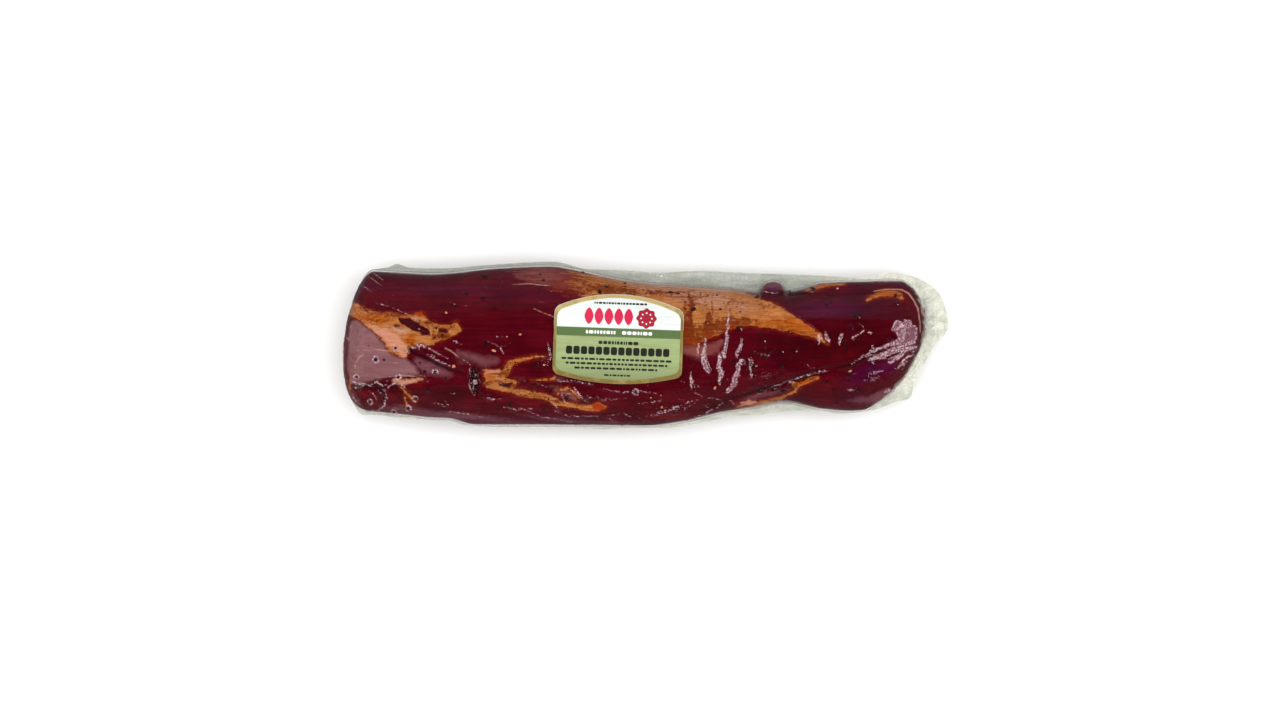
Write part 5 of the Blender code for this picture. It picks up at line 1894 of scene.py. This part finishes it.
    def web_sheet(self, name: str, upper: bool, columns: int, film: bpy.types.Material) -> bpy.types.Object:
        """Builds one web: rows along X, each out along the rim, over or under the meat, and out again.

        Args:
            name: the object's name.
            upper: the upper web, or the lower one.
            columns: points over or under the meat.
            film: the film's finish.

        Returns:
            The web.
        """
        shape, way = self.shape, 1 if upper else -1
        squareness = shape.top_squareness if upper else shape.under_squareness
        x = shape.stations(shape.bag_end, self.step, self.corner_steps)
        body = self.body(shape.across(x, columns, squareness), squareness, upper)
        far, near = (side[:, None] for side in shape.meat_sides(x))
        rim_far, rim_near = (side[:, None] for side in shape.rim_sides(x))
        share = np.linspace(0, 1, self.rim_columns + 1)[None, :]
        far_y, near_y = rim_far + (far - rim_far) * share, near + (rim_near - near) * share
        rim_x = np.repeat(x[:, None], self.rim_columns + 1, axis=1)
        far_rim, near_rim = (
            np.stack([rim_x, rim_y, self.rim_height(rim_x, out, way)], axis=-1)
            for rim_y, out in ((far_y, far_y - far), (near_y, near - near_y))
        )
        points = np.concatenate([far_rim[:, :-1], body, near_rim[:, 1:]], axis=1)
        plan = points[..., 0], points[..., 1]
        out = np.maximum(plan[1] - far, near - plan[1])
        web = np.maximum(ease(out, 0.1, 1.2), ease(plan[0], shape.meat_end - 1, shape.meat_end + 1.5))
        crinkle = np.clip(blobs(*plan, self.marks.speckled) * 0.8 + web * 0.35 + 0.03, 0, 1)
        values = {
            "dry": self.dry(*plan) if upper else np.full(web.shape, -2.0),
            "crinkle": crinkle,
            "web": web,
            "cloud": self.greyed_and_shaded(*plan, out, web),
            "haze": self.haze(*plan) * (1 - web) if upper else np.zeros(web.shape),
        }
        faces = grid_faces(*web.shape, closed=False)[:, ::way]
        return mesh_object(name, points, [faces], film, values)

    def build(self) -> list[bpy.types.Object]:
        """Builds both webs with one film.

        Returns:
            The upper and the lower web.
        """
        film = VacuumFilm().build()
        return [
            self.web_sheet("upper_film", True, self.top_columns, film),
            self.web_sheet("lower_film", False, self.under_columns, film),
        ]


@dataclass(frozen=True)
class Sticker:
    """The paper label: straight sides, a high arch above, a shallow bow below, and a foil edge."""

    shape: PackShape
    marks: MeatMarks
    centre: Pair = (-13.0, 1.6)
    turn_degrees: float = -2.0
    width: float = 59.4
    side_height: float = 30.4
    arch: float = 6.8
    bow: float = 4.1
    corner: float = 2.6
    thickness: float = 0.35
    gap: float = 0.2
    bridged_rise: float = 0.45
    bridged_edge: float = 3.0
    sharp_degrees: float = 50.0
    columns: int = 150
    rows: int = 100
    foil_from: float = 0.12
    foil_width: float = 1.8
    foil_side_share: float = 0.72
    foil_dome: float = 0.05
    foil_points: int = 121
    foil_side_points: int = 24
    foil_strips: int = 6
    ink_rise: float = 0.07
    ink_rings: int = 5
    ink_sides: int = 28
    rosette_rise: float = 0.06
    rosette_rings: int = 7
    rosette_sides: int = 96
    rosette_centre: Pair = (12.6, 11.2)
    rosette_radius: float = 4.4
    rosette_wave: float = 0.08
    petals: int = 8
    petal_ring: float = 2.5
    petal_size: float = 0.75
    dashes_drawn: int = 400
    dash_uneven: Pair = (0.55, 1.45)
    least_last_dash: float = 0.4
    dash_gap_share: float = 0.22
    widest_dash_gap: float = 0.5

    @classmethod
    def local(cls, x: Floats, y: Floats) -> tuple[Floats, Floats]:
        """Turns plan positions into the label's own.

        Args:
            x: plan position along the meat.
            y: plan position across it.

        Returns:
            The place across and up the label, from its centre.
        """
        turn = math.radians(cls.turn_degrees)
        dx, dy = x - cls.centre[0], y - cls.centre[1]
        return dx * math.cos(turn) + dy * math.sin(turn), dy * math.cos(turn) - dx * math.sin(turn)

    @classmethod
    def clear_of(cls, x: Floats, y: Floats) -> NDArray[np.bool_]:
        """Finds where a grain may lie: clear of the label by two of its corners.

        Args:
            x: plan position along the meat.
            y: plan position across it.

        Returns:
            True at each clear place.
        """
        across, up = cls.local(x, y)
        clear = 2 * cls.corner
        beside = np.abs(across) >= cls.width / 2 + clear
        return beside | (np.abs(up) >= cls.side_height / 2 + cls.arch + clear)

    @classmethod
    def clear_share(cls, x: Floats, y: Floats) -> Floats:
        """Lets wrinkles die out under the paper: the distance outside its edge, eased over 1.7 mm.

        Args:
            x: plan position along the meat.
            y: plan position across it.

        Returns:
            0 under the label, and 1 from 1.5 mm outside it.
        """
        across, up = cls.local(x, y)
        share = 1 - np.clip(np.abs(across) / (cls.width / 2), 0, 1) ** 2
        above = cls.side_height / 2 + cls.arch * share - up
        below = cls.side_height / 2 + cls.bow * share + up
        inside = np.minimum(np.minimum(above, below), cls.width / 2 - np.abs(across))
        return 1 - ease(inside, -1.5, 0.2)

    def edge(self, across: Floats, bow: float, inset: float = 0.0) -> Floats:
        """Distance from the middle line to the upper or lower edge: side height, bow and rounded corner.

        Args:
            across: -1 at the left side and 1 at the right.
            bow: how far the edge bows out in the middle.
            inset: how far inside the paper's edge to stay.

        Returns:
            The distance, in mm.
        """
        inwards = (1 - np.abs(across)) * (self.width / 2 - inset)
        corner = self.corner * (1 - corner_share(inwards, (self.corner, 2.0)))
        return self.side_height / 2 + bow * (1 - across**2) - corner - inset

    def lay(self, across: Floats, up: Floats, rise: float) -> Floats:
        """Lays points of the label on the bag.

        Args:
            across: the points' place across the label, from its centre, in mm.
            up: their place up the label.
            rise: height over the film.

        Returns:
            An (x, y, z) for each point, in mm.
        """
        turn = math.radians(self.turn_degrees)
        x = self.centre[0] + across * math.cos(turn) - up * math.sin(turn)
        y = self.centre[1] + across * math.sin(turn) + up * math.cos(turn)
        return np.stack([x, y, self.shape.top(x, y) + self.plateau(x, y) + rise], axis=-1)

    def plateau(self, x: Floats, y: Floats) -> Floats:
        """Rise of the fat under the label, smoothed, so that the paper bridges its edge."""
        on_cap = ease(outline_depth(x, y, self.marks.cap), -self.bridged_edge, self.bridged_edge)
        return on_cap * self.bridged_rise

    def paper(self) -> bpy.types.Object:
        """Builds the paper: a grid between the lower and the upper edge, given a thickness and closed sides.

        Returns:
            The paper.
        """
        turn = np.linspace(0, math.pi, self.columns + 1)
        across, up = np.meshgrid(-np.cos(turn), np.linspace(0, 1, self.rows + 1), indexing="xy")
        above, below = self.edge(across, self.arch), -self.edge(across, self.bow)
        local_x, local_y = across * self.width / 2, below + (above - below) * up
        points = np.stack([self.lay(local_x, local_y, self.gap + rise) for rise in (0, self.thickness)])
        faces = grid_faces(*local_x.shape, closed=False)
        count = local_x.size
        number = np.arange(count).reshape(local_x.shape)
        loop = np.concatenate([number[0, :-1], number[:-1, -1], number[-1, :0:-1], number[:0:-1, 0]])
        after = np.roll(loop, -1)
        wall = np.stack([loop, after, after + count, loop + count], axis=-1)
        made = mesh_object(
            "label_paper", points, [faces[:, ::-1], faces + count, wall], LabelPaper().build(),
            {"label_y": np.stack([local_y, local_y])},
        )
        made.data.set_sharp_from_angle(angle=math.radians(self.sharp_degrees))
        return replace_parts(made, "sticker")

    def foil(self) -> bpy.types.Object:
        """Builds the foil edge: a strip between two insets of the outline, slightly domed across.

        Returns:
            The foil.
        """
        turn = np.linspace(0, math.pi, self.foil_points)
        leftwards, rightwards = np.cos(turn), -np.cos(turn)
        side = np.linspace(0, 1, self.foil_side_points + 2)[1:-1]
        across = np.concatenate([rightwards, 1 + 0 * side, leftwards, -1 + 0 * side])
        strips = []
        for share in np.linspace(0, 1, self.foil_strips):
            inset = self.foil_from + share * (self.foil_width - self.foil_from)
            half = self.width / 2 - inset * self.foil_side_share
            above, below = self.edge(rightwards, self.arch, inset), -self.edge(leftwards, self.bow, inset)
            right = above[-1] + (below[0] - above[-1]) * side
            left = below[-1] + (above[0] - below[-1]) * side
            dome = self.foil_dome * (1 + math.sin(math.pi * share))
            up = np.concatenate([above, right, below, left])
            strips.append(self.lay(across * half, up, self.gap + self.thickness + dome))
        points = np.stack(strips)
        faces = grid_faces(*points.shape[:2], closed=True)[:, ::-1]
        height = {"label_y": self.local(points[..., 0], points[..., 1])[1]}
        return mesh_object("label_foil", points, [faces], GoldFoil().build(), height)

    def printed(
        self, name: str, ink: Ink, rim: tuple[Floats, Floats], places: Floats, rings: int, rise: float
    ) -> bpy.types.Object:
        """Prints discs of one outline, each filled from its centre out by shares of its rim.

        Args:
            name: the object's name.
            ink: the ink they are printed in.
            rim: the outline's points across and up, about its centre, for a disc 2 wide and 2 high.
            places: (across, up, width, height) of each disc on the label.
            rings: rings of points in each.
            rise: height over the paper.

        Returns:
            The printed discs.
        """
        share = np.linspace(0, 1, rings + 1)[1:, None]
        disc_x, disc_y = (np.concatenate([[0.0], (share * line).ravel()]) for line in rim)
        across, up, width, height = places.T[:, :, None]
        rise = self.gap + self.thickness + rise
        points = self.lay(across + disc_x * width / 2, up + disc_y * height / 2, rise)
        faces = repeated_faces(len(places), len(rim[0]), rings, ball=False)
        return mesh_object(name, points, faces, ink.build())

    def blocks(self, name: str, ink: Ink, places: Floats, rounding: float) -> bpy.types.Object:
        """Prints rounded blocks, each rim a superellipse: cosine and sine to the power of 2 over rounding.

        Args:
            name: the object's name.
            ink: the ink they are printed in.
            places: (across, up, width, height) of each block on the label.
            rounding: the superellipse's power, 2 for an ellipse and more for a squarer block.

        Returns:
            The printed blocks.
        """
        turn = np.linspace(0, 2 * math.pi, self.ink_sides, endpoint=False)
        rim = tuple(np.sign(part) * np.abs(part) ** (2 / rounding) for part in (np.cos(turn), np.sin(turn)))
        return self.printed(name, ink, rim, places, self.ink_rings, self.ink_rise)

    def row(self, left: float, right: float, up: float, height: float, piece: float, seed: int) -> Floats:
        """Fills a line with plain dashes of uneven length.

        Args:
            left: where the line starts, across the label.
            right: where it ends.
            up: its height on the label.
            height: the dashes' height.
            piece: their mean length.
            seed: the seed of the draw.

        Returns:
            (across, up, width, height) of each dash.
        """
        draw = np.random.default_rng(seed)
        ends = np.cumsum(draw.uniform(*self.dash_uneven, self.dashes_drawn) * piece)
        ends = ends[ends < right - left - piece * self.least_last_dash]
        edges = np.concatenate([[0.0], ends, [right - left]]) + left
        widths = np.diff(edges) - min(self.dash_gap_share * piece, self.widest_dash_gap)
        same = np.full(len(widths), 1.0)
        return np.column_stack([(edges[:-1] + edges[1:]) / 2, same * up, widths, same * height])

    def even_row(self, left: float, right: float, count: int, up: float, size: Pair) -> Floats:
        """Places like shapes evenly along a line of the label.

        Args:
            left: the first one's middle, across the label.
            right: the last one's middle.
            count: how many there are.
            up: their height on the label.
            size: the width and height of each.

        Returns:
            (across, up, width, height) of each.
        """
        return np.column_stack([np.linspace(left, right, count), np.tile((up, *size), (count, 1))])

    def rosette(self) -> list[bpy.types.Object]:
        """Prints a plain rosette, whose radius waves once for each petal, and a ring of light dots on it.

        Returns:
            The rosette and its dots.
        """
        turn = np.linspace(0, 2 * math.pi, self.rosette_sides, endpoint=False)
        radius = self.rosette_radius * (1 + self.rosette_wave * np.cos(self.petals * turn))
        rim = radius * np.cos(turn), radius * np.sin(turn)
        place = np.array([[*self.rosette_centre, 2.0, 2.0]])
        turn = np.linspace(0, 2 * math.pi, self.petals, endpoint=False)
        spots = self.rosette_centre + self.petal_ring * np.column_stack([np.cos(turn), np.sin(turn)])
        dots = np.column_stack([spots, np.full(spots.shape, self.petal_size)])
        return [
            self.printed("label_rosette", Ink.WINE, rim, place, self.rosette_rings, self.rosette_rise),
            self.blocks("label_dots", Ink.WHITE, dots, 2.0),
        ]

    def build(self) -> list[bpy.types.Object]:
        """Builds the paper, its foil edge and the printed shapes.

        Returns:
            Every piece of the label.
        """
        lines = [
            self.row(-11.8, 12.8, 17.7, 0.95, 1.5, 3), self.row(-9.2, 9.4, -0.5, 1.5, 1.7, 5),
            self.row(-26.0, 25.0, -8.2, 1.0, 2.4, 7), self.row(-24.0, 23.2, -10.3, 1.0, 2.2, 8),
            self.row(-20.0, 18.6, -12.4, 1.0, 2.3, 9), self.row(-6.2, 6.2, -15.4, 0.8, 1.8, 10),
        ]
        band = [self.row(-15.2, -1.2, 4.2, 1.6, 1.8, 12), self.row(1.4, 15.6, 4.2, 1.6, 1.8, 13)]
        lozenges = self.even_row(-13.8, 4.4, 5, 11.6, (4.1, 7.6))
        heading = self.even_row(-22.4, 22.2, 14, -4.3, (2.9, 3.7))
        return [
            self.paper(), self.foil(),
            self.blocks("label_lozenges", Ink.CRIMSON, lozenges, 1.6),
            *self.rosette(),
            self.blocks("label_heading", Ink.BLACK, heading, 4.0),
            self.blocks("label_lines", Ink.BLACK, np.concatenate(lines), 3.5),
            self.blocks("label_band_marks", Ink.WHITE, np.concatenate(band), 3.5),
        ]


class Side(Enum):
    """Where a softbox stands, as its direction in plan from the part."""

    FAR = (0.0, 1.0)
    NEAR = (0.0, -1.0)
    TAIL = (1.0, 0.0)
    THICK_END = (-1.0, 0.0)
    ABOVE = (0.0, 0.0)


@dataclass(frozen=True)
class Softbox:
    """A rectangular studio light that faces the part."""

    side: Side
    away: float
    height: float
    width: float
    depth: float
    power: float
    in_gloss: bool

    def build(self) -> bpy.types.Object:
        """Builds the light at its place, turned to face the part's middle.

        Returns:
            The light.
        """
        use = "softbox" if self.in_gloss else "fill"
        light = bpy.data.lights.new(f"{use}_{self.side.name.lower()}", "AREA")
        light.shape = "RECTANGLE"
        light.size = self.width
        light.size_y = self.depth
        light.energy = self.power
        made = bpy.data.objects.new(light.name, light)
        made.location = (self.side.value[0] * self.away, self.side.value[1] * self.away, self.height)
        made.rotation_euler = made.location.to_track_quat("Z", "Y").to_euler()
        made.visible_glossy = self.in_gloss
        made.visible_camera = False
        bpy.context.scene.collection.objects.link(made)
        return made


@dataclass(frozen=True)
class Studio:
    """A pale sweep, softboxes round it, and a camera straight above."""

    frame_width_mm: float = 594.8
    aim_mm: tuple[float, float, float] = (-3.0, -6.7, 20.0)
    lens_mm: float = 100.0
    floor_half: float = 6.0
    floor_below: float = 0.0002
    floor_tone: str = "#fafaf8"
    floor_grain: str = "#fdfdfc"
    floor_grain_mm: float = 25.0
    boxes: tuple[Softbox, ...] = (
        Softbox(Side.ABOVE, 0.0, 1.9, 2.8, 2.6, 52.0, False),
        Softbox(Side.FAR, 1.3, 0.6, 1.6, 0.8, 3.2, False),
        Softbox(Side.NEAR, 1.3, 0.6, 1.6, 0.8, 3.2, False),
        Softbox(Side.TAIL, 1.2, 0.5, 1.0, 0.7, 2.0, False),
        Softbox(Side.THICK_END, 1.1, 0.4, 1.0, 0.7, 5.0, False),
        Softbox(Side.FAR, 0.95, 0.83, 1.7, 0.92, 0.3, True),
        Softbox(Side.NEAR, 1.0, 0.8, 1.7, 0.7, 0.25, True),
        Softbox(Side.TAIL, 0.7, 0.8, 0.45, 0.4, 2.4, True),
        Softbox(Side.THICK_END, 0.9, 0.5, 0.9, 0.5, 0.4, True),
    )
    room: Stations = ((0.0, 0.11), (0.04, 0.08), (0.18, 0.16), (0.5, 0.02), (0.95, 0.01))

    def camera(self) -> bpy.types.Object:
        """Puts the camera straight above, as far off as its lens needs to see the frame's width.

        Returns:
            The camera.
        """
        data = bpy.data.cameras.new("overhead")
        data.lens = self.lens_mm
        made = bpy.data.objects.new("overhead", data)
        aim_x, aim_y, aim_z = self.aim_mm
        height = self.frame_width_mm * data.lens / data.sensor_width + aim_z
        made.location = (aim_x * MM, aim_y * MM, height * MM)
        bpy.context.scene.collection.objects.link(made)
        bpy.context.scene.camera = made
        return made

    def floor(self) -> bpy.types.Object:
        """Builds the floor: a flat pale sheet of matt board with a barely visible grain.

        Returns:
            The floor.
        """
        mesh = bpy.data.meshes.new("floor")
        half, ways = self.floor_half, ((-1, -1), (1, -1), (1, 1), (-1, 1))
        corners = [(way_x * half, way_y * half, -self.floor_below) for way_x, way_y in ways]
        mesh.from_pydata(corners, [], [(0, 1, 2, 3)])
        material, add, place = new_material("matt_white_board")
        grain = add("TexNoise", {}, {"Vector": place, "Scale": scale_of(self.floor_grain_mm), "Detail": 3.0})
        colour = add("Mix", COLOURS, {0: grain, 6: linear(self.floor_tone), 7: linear(self.floor_grain)}, 2)
        body = {"Base Color": colour, "Roughness": 0.8, "Specular IOR Level": 0.1}
        add("OutputMaterial", {}, {"Surface": add("BsdfPrincipled", {}, body)})
        mesh.materials.append(material)
        made = bpy.data.objects.new("floor", mesh)
        bpy.context.scene.collection.objects.link(made)
        made.visible_glossy = False
        return made

    def world(self) -> None:
        """Lights the room: dark above, a dim band over the horizon, and below it what the floor mirrors."""
        world = bpy.data.worlds.new("room")
        bpy.context.scene.world = world
        world.use_nodes = True
        world.node_tree.nodes.clear()
        add = partial(add_node, world.node_tree)
        height = add("SeparateXYZ", {}, (add("TexCoord", {}, {}, "Generated"),), "Z")
        stops = [(position, (grey, grey, grey, 1.0)) for position, grey in self.room]
        level = add("ValToRGB", {"stops": stops}, {"Fac": height})
        add("OutputWorld", {}, {"Surface": add("Background", {}, {"Color": level, "Strength": 1.0})})

    def build(self) -> None:
        """Builds the floor, room, softboxes and camera, and sets a plain view transform."""
        self.floor()
        self.world()
        for box in self.boxes:
            box.build()
        self.camera()
        bpy.context.scene.view_settings.view_transform = "Standard"
        bpy.context.scene.view_settings.look = "None"


def main() -> None:
    """Loads the frame and builds the meat, spice, bag, label and studio in order."""
    logging.basicConfig(level=logging.INFO, format="%(message)s")
    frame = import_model()
    LOG.info("frame with nodes %s", sorted(frame["nodes"]))
    shape, marks = PackShape(), MeatMarks()
    spice = Spice(shape)
    meat = Tenderloin(shape, marks).build()
    grains = spice.build(marks)
    webs = Bag(shape, marks, spice).build()
    for piece in (meat, *grains, *webs):
        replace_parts(piece, "sealed_bag")
    label = Sticker(shape, marks).build()
    for piece in label:
        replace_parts(piece, "sticker")
    Studio().build()


if __name__ == "__main__":
    main()
